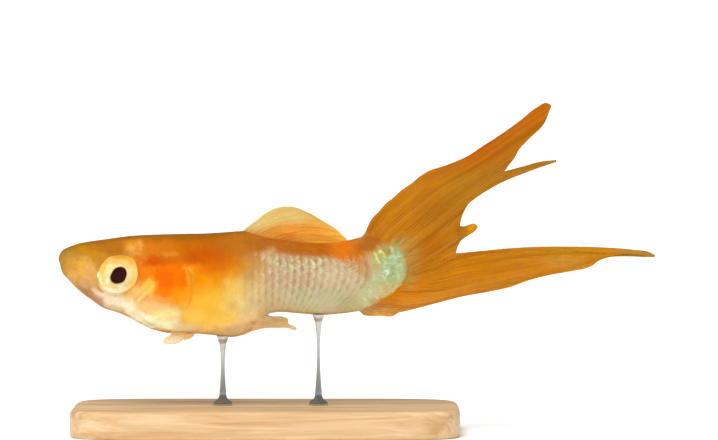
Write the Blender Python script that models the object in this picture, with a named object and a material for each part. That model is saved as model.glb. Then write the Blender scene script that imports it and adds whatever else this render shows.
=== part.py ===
"""A life-size guppy, a male of the swallow-tailed kind, held over a plain stand.

The fish looks along -X and its left side faces -Y. Its proportions are given in hundredths
of the standard length, x counted back from the snout, z up from the snout's level and y
outwards from the middle of the body, as fish are described in the hand.
"""

import math

import bmesh
import bpy
import numpy as np
from mathutils import Matrix, Vector
from mathutils.geometry import delaunay_2d_cdt

# Driving dimensions in metres
STANDARD_LENGTH = 0.030
SNOUT_HEIGHT = 0.0154
GAP = 0.0003
LEAST_FIN = 0.0005
BASE_LENGTH = 0.034
BASE_DEPTH = 0.018
BASE_HEIGHT = 0.0024
ROD_RADIUS = 0.0004

# Proportions in hundredths of the standard length
UNIT = STANDARD_LENGTH / 100
TOTAL_LENGTH = 174.6
CLEARANCE = GAP / UNIT
FIN_HALF = LEAST_FIN / UNIT / 2
RAY_RISE = 0.4
LEAST_STEP = 0.4

# The body's outline from the side
BACK_LINE = (
    (0.0, -0.3), (0.3, 0.6), (0.7, 1.5), (1.5, 2.3), (2.9, 2.9), (6.4, 4.1), (13.5, 5.3),
    (22.2, 6.4), (36.0, 6.8), (47.5, 7.2), (54.0, 7.5), (58.0, 6.3), (63.0, 5.1), (70.0, 4.2),
    (77.0, 4.0), (84.0, 4.8), (89.3, 6.1), (104.0, 9.5),
)
BELLY_LINE = (
    (0.0, -0.5), (0.3, -1.6), (0.7, -3.2), (1.3, -4.8), (2.3, -6.0), (4.7, -8.2), (8.2, -11.4),
    (11.7, -13.7), (15.2, -15.3), (18.7, -16.7), (24.0, -19.2), (28.0, -21.1), (33.0, -22.2),
    (44.0, -22.5), (50.5, -23.1), (54.0, -22.5), (57.5, -20.2), (61.2, -16.4), (64.5, -15.8),
    (70.0, -16.2), (77.0, -16.7), (83.0, -16.3), (89.0, -15.6), (104.0, -17.0),
)
# Half the body's width, seen from above, and where its widest level lies, 0 at the belly
HALF_WIDTH = (
    (0.0, 0.4), (0.3, 1.9), (0.7, 2.8), (1.3, 3.5), (2.9, 4.5), (6.4, 5.8), (12.0, 7.1),
    (17.5, 7.8), (25.0, 8.3), (33.0, 8.5), (42.0, 8.3), (50.0, 7.6), (56.0, 6.7), (62.0, 5.6),
    (70.0, 4.5), (80.0, 3.4), (88.0, 2.4), (95.0, 1.6), (104.0, 1.0),
)
WIDEST_LEVEL = ((0.0, 0.5), (6.0, 0.58), (20.0, 0.62), (45.0, 0.52), (62.0, 0.5), (104.0, 0.5))
# Powers of the section's upper and lower halves: 2 is an ellipse, and more is squarer
UPPER_POWER = ((0.0, 2.3), (8.0, 2.7), (22.0, 2.7), (45.0, 2.4), (70.0, 2.1), (104.0, 2.4))
LOWER_POWER = ((0.0, 2.2), (8.0, 1.8), (22.0, 1.75), (38.0, 2.1), (70.0, 2.0), (104.0, 2.4))

# Where the head ends, down the edge of the gill opening, as (z, x)
GILL_EDGE = (
    (-23.0, 26.5), (-20.8, 29.2), (-18.4, 33.0), (-16.1, 36.1), (-12.6, 38.4), (-8.5, 39.2),
    (-5.3, 38.6), (-1.5, 37.4), (2.0, 36.0), (7.5, 34.4),
)
GILL_REACH = (20.0, 37.5, 50.0)
# Where the stalk ends, down the roots of the tail's rays, as (z, x)
RAY_ROOTS = (
    (-17.0, 86.0), (-15.6, 89.2), (-14.0, 95.0), (-12.0, 98.5), (-8.8, 101.5), (-5.3, 102.8),
    (-2.3, 102.2), (1.5, 99.4), (4.1, 95.0), (6.1, 89.4), (8.0, 86.0),
)
TRUNK_END = 62.0

EYE_CENTRE = (17.5, -5.3)
EYE_RADIUS = 5.7
EYE_HALF_DEPTH = 3.0
EYE_BULGE = 1.0
NOSTRIL = (5.9, -0.4)
NOSTRIL_RADIUS = 0.75
MOUTH_CORNER = (3.6, -2.0)
MOUTH_FRONT = (-1.0, 0.5)
MOUTH_SLIT = 0.8
LIP_RISE = 0.07
LIP_SPAN = 1.3

SECTION_POINTS = 32


def smooth(points, at):
    """The smooth curve through the points, read at each value: its slope at a point is the
    harmonic mean of the slopes on either side, so it never swings past a point."""
    x, z = np.array(points, float).T
    step = np.diff(x)
    rise = np.diff(z) / step
    inner = np.zeros(len(x))
    same_way = rise[:-1] * rise[1:] > 0
    safe = np.where(same_way, rise[:-1] + rise[1:], 1.0)
    inner[1:-1] = np.where(same_way, 2 * rise[:-1] * rise[1:] / safe, 0.0)
    inner[0], inner[-1] = rise[0], rise[-1]
    at = np.clip(np.asarray(at, float), x[0], x[-1])
    i = np.clip(np.searchsorted(x, at, side="right") - 1, 0, len(x) - 2)
    t = (at - x[i]) / step[i]
    return (
        z[i] * (1 + 2 * t) * (1 - t) ** 2
        + z[i + 1] * t**2 * (3 - 2 * t)
        + step[i] * t * (1 - t) * (inner[i] * (1 - t) - inner[i + 1] * t)
    )


def along(points, count):
    """Evenly spaced points on the smooth line that passes through the given ones."""
    points = np.array(points, float)
    reach = np.concatenate([[0.0], np.cumsum(np.linalg.norm(np.diff(points, axis=0), axis=1))])
    slope = np.gradient(points, reach, axis=0)
    fine = np.linspace(0, reach[-1], 24 * len(points))
    i = np.clip(np.searchsorted(reach, fine, side="right") - 1, 0, len(points) - 2)
    step = np.diff(reach)[i][:, None]
    t = (fine - reach[i])[:, None] / step
    line = (
        points[i] * (1 + 2 * t) * (1 - t) ** 2
        + points[i + 1] * t**2 * (3 - 2 * t)
        + step * t * (1 - t) * (slope[i] * (1 - t) - slope[i + 1] * t)
    )
    length = np.concatenate([[0.0], np.cumsum(np.linalg.norm(np.diff(line, axis=0), axis=1))])
    even = np.linspace(0, length[-1], count)
    return np.stack([np.interp(even, length, line[:, k]) for k in range(2)], axis=1)


def outline(shape):
    """The closed outline of a fin: smooth lines, each with evenly spaced points, that meet
    at the fin's corners."""
    lines = []
    for line in shape["edges"]:
        length = np.linalg.norm(np.diff(np.array(line), axis=0), axis=1).sum()
        lines.append(along(line, max(2, round(length / shape["step"]) + 1))[:-1])
    return np.concatenate(lines)


def fan(shape):
    """Lines that run out over a fin, spread evenly between its guide lines: every second one
    is a ray, and those between are the membrane's hollows."""
    guides = shape["guides"]
    reach = max(np.linalg.norm(np.diff(np.array(g), axis=0), axis=1).sum() for g in guides)
    count = round(reach / shape["step"]) + 1
    lines = np.stack([along(g, count) for g in guides])
    at = np.linspace(0, len(guides) - 1, 2 * shape["rays"] - 1)
    i = np.minimum(at.astype(int), len(guides) - 2)
    share = (at - i)[:, None, None]
    return (1 - share) * lines[i] + share * lines[i + 1]


def off_edge(points, edge):
    """How far each point lies inside a closed outline, and less than 0 outside it."""
    start, end = edge, np.roll(edge, -1, axis=0)
    run = end - start
    away = points[:, None] - start[None]
    t = np.clip((away * run).sum(axis=2) / (run**2).sum(axis=1), 0, 1)
    distance = np.linalg.norm(away - t[..., None] * run, axis=2).min(axis=1)
    above = (start[None, :, 1] > points[:, None, 1]) != (end[None, :, 1] > points[:, None, 1])
    rise = np.where(run[:, 1] == 0, 1.0, run[:, 1])
    crossing = away[..., 1] / rise * run[:, 0] > away[..., 0]
    inside = (above & crossing).sum(axis=1) % 2 == 1
    return np.where(inside, distance, -distance)


def placed(points):
    """Points given in hundredths of the standard length, as metres in the part's frame."""
    shift = np.array([-TOTAL_LENGTH / 2, 0.0, SNOUT_HEIGHT / UNIT])
    return (np.asarray(points, float) + shift) * UNIT


def section(x, angle):
    """The body's side at x, for angles turned from the back down its left side, as (y, z)."""
    top, bottom = smooth(BACK_LINE, x), smooth(BELLY_LINE, x)
    middle = bottom + smooth(WIDEST_LEVEL, x) * (top - bottom)
    up, out = np.cos(angle), -np.sin(angle)
    upper, lower = smooth(UPPER_POWER, x), smooth(LOWER_POWER, x)
    power = np.where(up > 0, upper, lower)
    height = np.where(up > 0, top - middle, middle - bottom)
    y = smooth(HALF_WIDTH, x) * np.sign(out) * np.abs(out) ** (2 / power)
    z = middle + height * np.sign(up) * np.abs(up) ** (2 / power)
    return y, z


def side_width(x, z):
    """How far out the body's side lies at a point seen from the side."""
    top, bottom = smooth(BACK_LINE, x), smooth(BELLY_LINE, x)
    middle = bottom + smooth(WIDEST_LEVEL, x) * (top - bottom)
    power = np.where(z > middle, smooth(UPPER_POWER, x), smooth(LOWER_POWER, x))
    height = np.where(z > middle, top - middle, middle - bottom)
    share = np.clip(np.abs(z - middle) / height, 0, 0.995)
    return smooth(HALF_WIDTH, x) * (1 - share**power) ** (1 / power)


def lipped(x, y, z):
    """Pushes the snout's surface out on both sides of the mouth line, as two soft lips."""
    slope = (MOUTH_CORNER[1] - MOUTH_FRONT[1]) / (MOUTH_CORNER[0] - MOUTH_FRONT[0])
    line = MOUTH_FRONT[1] + slope * (x - MOUTH_FRONT[0])
    fade = np.clip(1 - x / (1.5 * MOUTH_CORNER[0]), 0, 1)
    swell = 1 + LIP_RISE * fade * np.exp(-(((z - line) / LIP_SPAN) ** 2))
    return y * swell, line + (z - line) * (1 + (swell - 1) / 2)


def body_rings(stations, follow):
    """Sections of the body as rings of points. follow(x, z) bends each flat section into the
    one that it stands for, such as the curved edge of the gill opening."""
    angle = np.linspace(0, 2 * math.pi, SECTION_POINTS, endpoint=False)[None]
    flat = np.array(stations, float)[:, None] + np.zeros_like(angle)
    x = flat
    for _ in range(6):
        _, z = section(x, angle)
        x = follow(flat, z)
    y, z = section(x, angle)
    y, z = lipped(x, y, z)
    return placed(np.stack([x, y, z], axis=2))


def slant(edge, z):
    """Gap along x that leaves GAP square to an edge line which leans that way at z."""
    lean = smooth(edge, z + 0.5) - smooth(edge, z - 0.5)
    return CLEARANCE / 2 * np.sqrt(1 + lean**2)


def gill_bend(side):
    """Bends sections towards the gill opening. side is -1 before the opening, 1 behind it."""
    start, level, end = GILL_REACH

    def follow(x, z):
        near = np.minimum((x - start) / (level - start), (end - x) / (end - level))
        edge = smooth(GILL_EDGE, z)
        return x + np.clip(near, 0, 1) * (edge - level + side * slant(GILL_EDGE, z))

    return follow


def stalk_bend(x, z):
    """Stretches the stalk's sections back to the curved line where the tail's rays root."""
    start = TRUNK_END + CLEARANCE / 2
    end = smooth(RAY_ROOTS, z) - slant(RAY_ROOTS, z)
    return start + (x - start) * (end - start) / (100 - start)


def material(name, colour, roughness, metallic=0.0):
    made = bpy.data.materials.new(name)
    made.use_nodes = True
    shader = made.node_tree.nodes["Principled BSDF"]
    shader.inputs["Base Color"].default_value = (*colour, 1.0)
    shader.inputs["Roughness"].default_value = roughness
    shader.inputs["Metallic"].default_value = metallic
    return made


def mesh_object(name, points, faces, finish):
    """A closed mesh with its faces pointing out and its round parts shaded smooth."""
    mesh = bpy.data.meshes.new(name)
    mesh.from_pydata([tuple(p) for p in points], [], faces)
    shape = bmesh.new()
    shape.from_mesh(mesh)
    bmesh.ops.triangulate(shape, faces=[f for f in shape.faces if len(f.verts) == 4])
    bmesh.ops.recalc_face_normals(shape, faces=shape.faces)
    shape.to_mesh(mesh)
    shape.free()
    mesh.shade_smooth()
    mesh.set_sharp_from_angle(angle=math.radians(40))
    made = bpy.data.objects.new(name, mesh)
    bpy.context.scene.collection.objects.link(made)
    if finish:
        mesh.materials.append(finish)
    return made


def ring_solid(name, rings, finish):
    """Joins rings of points into a closed solid. Each end is closed with faces that run
    straight across from one side of the ring to the other."""
    count, size = rings.shape[:2]
    faces = []
    for k in range(count - 1):
        for i in range(size):
            j = (i + 1) % size
            faces.append((k * size + i, k * size + j, (k + 1) * size + j, (k + 1) * size + i))
    for base in (0, (count - 1) * size):
        for i in range(size // 2):
            across = {base + i, base + i + 1, base + size - i - 1, base + (size - i) % size}
            faces.append(tuple(sorted(across, key=lambda v, b=base, i=i: _turn(v - b, i, size))))
    return mesh_object(name, rings.reshape(-1, 3), faces, finish)


def _turn(vertex, i, size):
    """Orders the corners of one strip across a ring's end: down one side, up the other."""
    return (i, i + 1, size - i - 1, (size - i) % size).index(vertex)


def spread(shape):
    """Splits a fin's outline into triangles, with corners along every line of its fan.
    Returns the corners, the triangles and how far each corner stands up as part of a ray."""
    edge = outline(shape)
    points, raised = [tuple(p) for p in edge], [0.0] * len(edge)
    joins = [(i, (i + 1) % len(edge)) for i in range(len(edge))]
    for k, line in enumerate(fan(shape) if "guides" in shape else ()):
        clear = off_edge(line, edge) > shape["margin"]
        last = None
        for point, kept in zip(line, clear):
            kept = kept and np.linalg.norm(np.array(points) - point, axis=1).min() > LEAST_STEP
            if kept:
                points.append(tuple(point))
                raised.append(1.0 if k % 2 == 0 else 0.0)
                if last is not None:
                    joins.append((last, len(points) - 1))
            last = len(points) - 1 if kept else None
    made = delaunay_2d_cdt([Vector(p) for p in points], joins, [], 0, 1e-5, True)
    corners, faces = np.array([tuple(p) for p in made[0]]), np.array(made[2])
    faces = faces[off_edge(corners[faces].mean(axis=1), edge) > 0]
    height = np.array([max([raised[i] for i in source], default=0.0) for source in made[3]])
    return corners, [tuple(int(v) for v in face) for face in faces], height


def sheet_solid(name, shape, lean, half, rise, finish):
    """A thin solid: a flat outline stood beside the middle plane, lean(x, z) out from it,
    with two faces split into triangles alike, joined by a rim."""
    flat, faces, height = spread(shape)
    x, z = flat.T
    slope_x = (lean(x + 0.1, z) - lean(x - 0.1, z)) / 0.2 + 0 * x
    slope_z = (lean(x, z + 0.1) - lean(x, z - 0.1)) / 0.2 + 0 * x
    normal = np.stack([-slope_x, np.ones(len(x)), -slope_z], axis=1)
    normal /= np.linalg.norm(normal, axis=1, keepdims=True)
    thick = half + rise * height
    offset = normal * thick[:, None]
    middle = np.stack([x, lean(x, z) + 0 * x, z], axis=1)
    points = placed(np.concatenate([middle + offset, middle - offset]))
    under = len(x)
    sides = {(a, b) for face in faces for a, b in zip(face, face[1:] + face[:1])}
    solid = faces + [tuple(v + under for v in reversed(face)) for face in faces]
    for a, b in sides:
        if (b, a) not in sides:
            solid.append((b, a, a + under))
            solid.append((b, a + under, b + under))
    return mesh_object(name, points, sorted(solid), finish)


def cut(target, cutter):
    """Takes the cutter's shape out of the target."""
    cutter.hide_render = True
    cutter.display_type = "WIRE"
    step = target.modifiers.new("cut by " + cutter.name, "BOOLEAN")
    step.operation = "DIFFERENCE"
    step.object = cutter
    step.solver = "EXACT"


# Each fin, seen from the side: the lines of its outline, from corner to corner, the guide
# lines that its rays are spread between, how many rays, and the spacing of its points
TAIL_UPPER = {
    "edges": (
        ((89.6, 7.4), (90.7, 9.6), (93.3, 13.5), (97.7, 17.4), (102.9, 21.5), (108.2, 25.3),
         (113.2, 27.2), (120.5, 30.3), (127.5, 34.8), (135.1, 40.2), (139.8, 43.6),
         (143.0, 45.2), (144.2, 44.4), (143.5, 42.2), (141.6, 39.2), (138.0, 35.5),
         (135.1, 32.2), (132.6, 29.2), (130.2, 26.2)),
        ((130.2, 26.2), (123.0, 21.6), (115.0, 16.1), (107.0, 10.1), (97.6, 4.0)),
        ((97.6, 4.0), (96.0, 4.9), (92.4, 6.3), (89.6, 7.4)),
    ),
    "guides": (
        ((90.0, 6.9), (94.0, 13.0), (98.1, 16.5), (103.4, 20.6), (108.8, 24.3), (113.8, 26.1),
         (121.0, 29.2), (128.0, 33.7), (135.6, 39.0), (143.4, 44.2)),
        ((97.0, 4.2), (106.6, 10.8), (114.6, 16.9), (122.6, 22.4), (130.2, 27.2),
         (137.0, 31.5), (142.0, 35.0)),
    ),
    "rays": 9,
    "step": 2.1,
    "margin": 0.75,
}
TAIL_MIDDLE = {
    "edges": (
        ((98.8, 3.2), (107.8, 9.0), (115.8, 15.0), (123.8, 20.5), (131.0, 25.0), (135.7, 26.6),
         (140.9, 27.9), (145.4, 28.3)),
        ((145.4, 28.3), (145.4, 27.7)),
        ((145.4, 27.7), (140.9, 26.6), (135.7, 24.6), (130.7, 22.5), (126.0, 19.9),
         (121.6, 17.0), (119.0, 14.1), (117.8, 11.7), (117.7, 9.8), (119.9, 9.8), (122.0, 9.3),
         (122.0, 8.0), (119.3, 5.9), (117.4, 4.1), (115.9, 2.3)),
        ((115.9, 2.3), (110.0, -0.9), (103.8, -3.4)),
        ((103.8, -3.4), (103.2, -1.6), (102.2, 0.2), (100.6, 1.9), (98.8, 3.2)),
    ),
    "guides": (
        ((99.4, 2.6), (108.3, 8.2), (116.3, 14.0), (124.5, 19.6), (131.2, 23.8), (136.0, 25.6),
         (141.0, 27.1), (145.4, 28.0)),
        ((102.0, 0.4), (108.0, 4.2), (113.5, 8.6), (118.6, 13.8)),
        ((103.0, -1.6), (110.0, 1.9), (116.0, 5.7), (122.4, 8.9)),
        ((103.6, -3.2), (109.6, -0.2), (116.4, 3.4)),
    ),
    "rays": 7,
    "step": 1.6,
    "margin": 0.6,
}
TAIL_LOWER = {
    "edges": (
        ((103.9, -4.6), (110.4, -2.0), (116.6, 1.1)),
        ((116.6, 1.1), (122.8, 1.8), (131.0, 2.6), (139.8, 3.1), (149.7, 3.2), (159.9, 2.8),
         (167.8, 2.0), (174.3, 0.5)),
        ((174.3, 0.5), (173.9, -0.1)),
        ((173.9, -0.1), (165.8, -0.1), (160.8, -0.3), (157.3, -1.6), (153.8, -3.4),
         (148.5, -4.2), (142.4, -5.3), (134.5, -7.7), (127.5, -9.6), (120.5, -11.0),
         (111.7, -13.2), (103.9, -15.2), (99.9, -16.2), (98.4, -17.3), (94.6, -17.3),
         (90.6, -16.7)),
        ((90.6, -16.7), (96.2, -15.2), (100.4, -12.2), (103.0, -8.2), (103.9, -4.6)),
    ),
    "guides": (
        ((103.6, -5.4), (110.8, -2.9), (117.0, 0.2), (131.0, 1.6), (149.7, 2.1), (160.0, 1.7),
         (174.0, 0.2)),
        ((102.6, -8.8), (112.0, -6.8), (125.0, -3.6), (142.0, -1.2), (155.0, -0.9),
         (165.0, 0.6)),
        ((100.6, -12.2), (110.0, -11.0), (122.0, -8.4), (134.5, -5.6), (148.0, -3.2),
         (158.0, -1.6)),
        ((95.0, -15.9), (100.0, -15.2), (111.0, -12.6), (125.0, -9.4), (139.0, -5.6),
         (150.0, -3.4)),
    ),
    "rays": 9,
    "step": 2.2,
    "margin": 0.6,
}
DORSAL_FIN = {
    "edges": (
        ((54.6, 8.5), (57.3, 10.6), (59.6, 12.4), (62.3, 14.0), (65.2, 14.8), (68.1, 15.0),
         (71.1, 14.2), (73.6, 12.8), (76.6, 11.1), (79.5, 9.4), (82.2, 7.6), (84.3, 6.0)),
        ((84.3, 6.0), (79.5, 5.4), (73.7, 5.1), (68.1, 5.4), (63.0, 6.2), (58.0, 7.5),
         (54.6, 8.5)),
    ),
    "guides": (
        ((55.6, 8.5), (58.5, 10.7), (62.3, 13.1), (65.8, 14.0), (69.4, 14.2), (73.6, 12.9)),
        ((63.4, 6.2), (67.0, 9.0), (71.5, 10.6), (76.0, 10.2), (79.6, 9.0)),
        ((68.0, 5.6), (73.7, 6.2), (79.5, 6.4), (83.6, 6.6)),
    ),
    "rays": 9,
    "step": 1.5,
    "margin": 0.55,
}
ANAL_FIN = {
    "edges": (
        ((61.2, -17.6), (63.4, -17.8), (65.8, -17.9), (67.3, -18.3), (67.5, -19.2),
         (68.6, -20.2), (70.0, -21.0)),
        ((70.0, -21.0), (66.7, -21.3), (62.6, -21.4), (59.0, -22.1), (56.1, -23.0)),
        ((56.1, -23.0), (57.7, -21.6), (59.6, -19.6), (61.2, -17.6)),
    ),
    "guides": (
        ((60.6, -18.6), (63.4, -18.7), (67.2, -18.9)),
        ((57.4, -22.0), (61.0, -21.0), (65.6, -20.6), (69.4, -20.8)),
    ),
    "rays": 4,
    "step": 1.1,
    "margin": 0.5,
}
PECTORAL_FIN = {
    "edges": (
        ((38.6, -3.6), (42.2, -4.6), (45.6, -6.6), (47.6, -9.4), (47.0, -12.8), (45.2, -16.1),
         (42.4, -18.7), (39.5, -19.6), (37.4, -18.9), (36.5, -17.3), (37.2, -14.6),
         (38.8, -11.4), (40.6, -8.6)),
        ((40.6, -8.6), (39.8, -6.0), (38.6, -3.6)),
    ),
    "guides": (
        ((39.2, -4.6), (42.4, -5.8), (45.0, -7.6), (47.6, -9.8)),
        ((39.9, -6.4), (42.2, -9.4), (43.6, -13.2), (44.2, -17.6)),
        ((40.4, -8.2), (39.0, -11.6), (38.0, -15.0), (37.4, -18.6)),
    ),
    "rays": 9,
    "step": 1.5,
    "margin": 0.5,
}
PELVIC_FIN_LEFT = {
    "edges": (
        ((33.2, -23.2), (32.2, -23.5), (31.1, -24.0), (30.8, -24.9), (32.2, -25.4),
         (34.5, -25.3), (35.9, -24.6), (36.7, -24.0), (37.1, -23.2)),
        ((37.1, -23.2), (35.0, -23.2), (33.2, -23.2)),
    ),
    "guides": (
        ((33.4, -23.0), (32.0, -24.0), (30.8, -24.9)),
        ((35.0, -23.2), (34.2, -24.3), (33.6, -25.4)),
        ((36.8, -23.0), (36.2, -24.0), (35.6, -25.0)),
    ),
    "rays": 5,
    "step": 0.8,
    "margin": 0.4,
}
PELVIC_FIN_RIGHT = {
    "edges": (
        ((36.6, -23.2), (36.4, -24.4), (37.4, -24.4), (38.6, -24.0), (39.9, -23.2)),
        ((39.9, -23.2), (38.2, -23.2), (36.6, -23.2)),
    ),
    "guides": (
        ((37.0, -23.0), (36.7, -23.8), (36.5, -24.5)),
        ((39.0, -23.0), (38.6, -23.6), (38.0, -24.2)),
    ),
    "rays": 3,
    "step": 0.7,
    "margin": 0.35,
}


def fin(name, shape, lean, finish):
    """One fin: a membrane of the least thickness, with its rays raised on both faces."""
    return sheet_solid(name, shape, lean, FIN_HALF, RAY_RISE, finish)


def tail_wave(x, z):
    """The tail's slow wave: it leans to the left in its upper lobe and back in its lower."""
    out = np.clip((x - 88) / (TOTAL_LENGTH - 88), 0, 1)
    return 3.0 * out**1.5 * np.sin(3.2 * out - 0.06 * (z - 5))


def build_body(finish):
    start, level, end = GILL_REACH
    snout = level * np.linspace(0.04, 1, 24) ** 1.6
    head = ring_solid("head", body_rings(snout, gill_bend(-1)), finish)
    middle = np.linspace(level, TRUNK_END - CLEARANCE / 2, 15)
    ring_solid("trunk", body_rings(middle, gill_bend(1)), finish)
    rear = np.linspace(TRUNK_END + CLEARANCE / 2, 100, 16)
    ring_solid("tail_stalk", body_rings(rear, stalk_bend), finish)
    return head


def spheroid(name, centre, radius, half_depth, finish=None):
    """A ball flattened sideways, with its poles to the left and right."""
    shape = bmesh.new()
    bmesh.ops.create_uvsphere(shape, u_segments=22, v_segments=12, radius=1.0)
    turn = Matrix.Rotation(math.radians(90), 4, "X")
    bmesh.ops.transform(shape, matrix=turn, verts=shape.verts)
    size = Vector((radius * UNIT, half_depth * UNIT, radius * UNIT))
    bmesh.ops.scale(shape, vec=size, verts=shape.verts)
    bmesh.ops.translate(shape, vec=Vector(placed(centre)), verts=shape.verts)
    bmesh.ops.recalc_face_normals(shape, faces=shape.faces)
    mesh = bpy.data.meshes.new(name)
    shape.to_mesh(mesh)
    shape.free()
    mesh.shade_smooth()
    made = bpy.data.objects.new(name, mesh)
    bpy.context.scene.collection.objects.link(made)
    if finish:
        mesh.materials.append(finish)
    return made


def build_eyes(head, finish):
    """A flattened eyeball each side, in a socket that clears it all round."""
    x, z = EYE_CENTRE
    out = side_width(x, z) + EYE_BULGE - EYE_HALF_DEPTH
    for side, way in (("left", -1), ("right", 1)):
        centre = (x, way * out, z)
        socket = spheroid("eye_socket_" + side, centre, EYE_RADIUS + CLEARANCE, EYE_HALF_DEPTH + CLEARANCE)
        cut(head, socket)
        spheroid("eye_" + side, centre, EYE_RADIUS, EYE_HALF_DEPTH, finish)


def build_nostrils(head):
    """A small pit each side of the snout, before the eye."""
    x, z = NOSTRIL
    for side, way in (("left", -1), ("right", 1)):
        centre = (x, way * side_width(x, z), z)
        cut(head, spheroid("nostril_" + side, centre, NOSTRIL_RADIUS, NOSTRIL_RADIUS))


def build_mouth(head):
    """The slit between the jaws, right through the snout to the corners of the mouth."""
    front, corner = np.array(MOUTH_FRONT), np.array(MOUTH_CORNER)
    reach = 1.3 * smooth(HALF_WIDTH, MOUTH_CORNER[0] + 1)
    rings = []
    for t in np.linspace(0, 1, 5):
        x, z = front + t * (corner - front)
        half = MOUTH_SLIT / 2 * (1 - 0.5 * t**4)
        rings.append([(x, reach, z + half), (x, -reach, z + half), (x, -reach, z - half), (x, reach, z - half)])
    cut(head, ring_solid("mouth_slit", placed(np.array(rings)), None))


# The plate that covers the gills, seen from the side
GILL_COVER = {
    "edges": (
        ((30.0, 0.8), (27.6, -3.0), (26.6, -7.4), (27.2, -11.6), (29.4, -16.2), (31.6, -17.4),
         (33.9, -16.2), (36.6, -12.0), (37.2, -7.8), (36.5, -3.0), (34.9, 0.8), (32.4, 1.6),
         (30.0, 0.8)),
    ),
    "step": 1.2,
    "margin": 0.8,
}
GILL_COVER_THICKNESS = 1.8
GILL_COVER_RISE = 0.45


def gill_plate(name, way, grow, inner, outer, finish):
    """A plate over the gills that follows the head's side. inner and outer are how far its
    two faces stand off that side, and grow widens its outline."""
    edge = np.array(GILL_COVER["edges"][0])
    centre = (edge.min(axis=0) + edge.max(axis=0)) / 2
    half = (edge.max(axis=0) - edge.min(axis=0)) / 2
    edge = centre + (edge - centre) * (1 + grow / half)
    shape = {**GILL_COVER, "edges": (edge,), "guides": (edge[:6], edge[:5:-1])}
    shape["rays"] = 4

    def lean(x, z):
        return way * (side_width(x, z) + (inner + outer) / 2)

    return sheet_solid(name, shape, lean, (outer - inner) / 2, 0.0, finish)


def build_gill_covers(head, finish):
    """A plate each side, a little proud of the head, in a recess that clears it all round."""
    inner = GILL_COVER_RISE - GILL_COVER_THICKNESS
    for side, way in (("left", -1), ("right", 1)):
        recess = gill_plate("gill_recess_" + side, way, CLEARANCE, inner - CLEARANCE, 3.0, None)
        cut(head, recess)
        gill_plate("gill_cover_" + side, way, 0.0, inner, GILL_COVER_RISE, finish)


def build_fins(finish, tail_finish):
    fin("dorsal_fin", DORSAL_FIN, lambda x, z: 0.6 * np.sin((z - 5) / 3), finish)
    fin("caudal_fin_upper", TAIL_UPPER, tail_wave, tail_finish)
    fin("caudal_fin_middle", TAIL_MIDDLE, tail_wave, tail_finish)
    fin("caudal_fin_lower", TAIL_LOWER, tail_wave, tail_finish)
    fin("anal_fin", ANAL_FIN, lambda x, z: 0.0, finish)


def pectoral_wave(way):
    """The pectoral fin roots on the body's side, stands off it and cups back towards it."""
    centre = np.array(PECTORAL_FIN["edges"][1][1])
    root = side_width(*centre) + CLEARANCE + FIN_HALF

    def lean(x, z):
        reach = np.hypot(x - centre[0], z - centre[1])
        return way * (root + 5.0 * np.sin(reach / 8))

    return lean


def build_paired_fins(finish):
    for side, way in (("left", -1), ("right", 1)):
        fin("pectoral_fin_" + side, PECTORAL_FIN, pectoral_wave(way), finish)
    fin("pelvic_fin_left", PELVIC_FIN_LEFT, lambda x, z: (z + 22) / 2 - 2.4, finish)
    fin("pelvic_fin_right", PELVIC_FIN_RIGHT, lambda x, z: 2.4 - (z + 22) / 2, finish)


ROD_FRONT = 48.0
ROD_REAR = 76.0
BASE_CENTRE = 60.6


def build_base(finish):
    """A flat plate with rounded corners and eased edges."""
    corner_power = 6.0
    angle = np.linspace(0, 2 * math.pi, 56, endpoint=False)
    outline = np.stack([np.cos(angle), np.sin(angle)], axis=1)
    outline = np.sign(outline) * np.abs(outline) ** (2 / corner_power)
    centre = placed((BASE_CENTRE, 0, 0))[0]
    levels = ((0.0, 0.00025), (0.00025, 0.0), (BASE_HEIGHT - 0.0005, 0.0), (BASE_HEIGHT, 0.0005))
    rings = []
    for height, inset in levels:
        half = np.array([BASE_LENGTH / 2 - inset, BASE_DEPTH / 2 - inset])
        level = np.full((len(angle), 1), height)
        rings.append(np.hstack([outline * half + (centre, 0.0), level]))
    ring_solid("stand_base", np.array(rings), finish)


def build_rod(name, x, finish):
    """A slim rod with a turned foot on the base and a small pad under the belly."""
    foot, top = BASE_HEIGHT + GAP, placed((x, 0, float(smooth(BELLY_LINE, x))))[2] - GAP
    profile = (
        (2.2 * ROD_RADIUS, foot),
        (2.2 * ROD_RADIUS, foot + 0.0004),
        (1.2 * ROD_RADIUS, foot + 0.0009),
        (ROD_RADIUS, foot + 0.0013),
        (ROD_RADIUS, top - 0.0009),
        (1.6 * ROD_RADIUS, top - 0.0004),
        (1.6 * ROD_RADIUS, top),
    )
    angle = np.linspace(0, 2 * math.pi, 16, endpoint=False)
    centre = placed((x, 0, 0))[0]
    rings = [
        np.stack([centre + r * np.cos(angle), r * np.sin(angle), np.full(len(angle), z)], axis=1)
        for r, z in profile
    ]
    ring_solid(name, np.array(rings), finish)


def build():
    for old in list(bpy.data.objects):
        bpy.data.objects.remove(old)
    skin = material("skin", (0.80, 0.45, 0.12), 0.35)
    membrane = material("fin_membrane", (0.90, 0.60, 0.25), 0.45)
    tail = material("tail_membrane", (0.62, 0.24, 0.02), 0.45)
    eye = material("eye", (0.95, 0.80, 0.45), 0.15)
    wood = material("stand_wood", (0.62, 0.42, 0.22), 0.5)
    steel = material("stand_steel", (0.62, 0.62, 0.60), 0.3, 1.0)
    head = build_body(skin)
    build_eyes(head, eye)
    build_nostrils(head)
    build_mouth(head)
    build_gill_covers(head, skin)
    build_fins(membrane, tail)
    build_paired_fins(membrane)
    build_base(wood)
    build_rod("stand_rod_front", ROD_FRONT, steel)
    build_rod("stand_rod_rear", ROD_REAR, steel)


build()
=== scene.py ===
import math

import bpy
import numpy as np
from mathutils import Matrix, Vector
from mathutils.geometry import delaunay_2d_cdt


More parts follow.
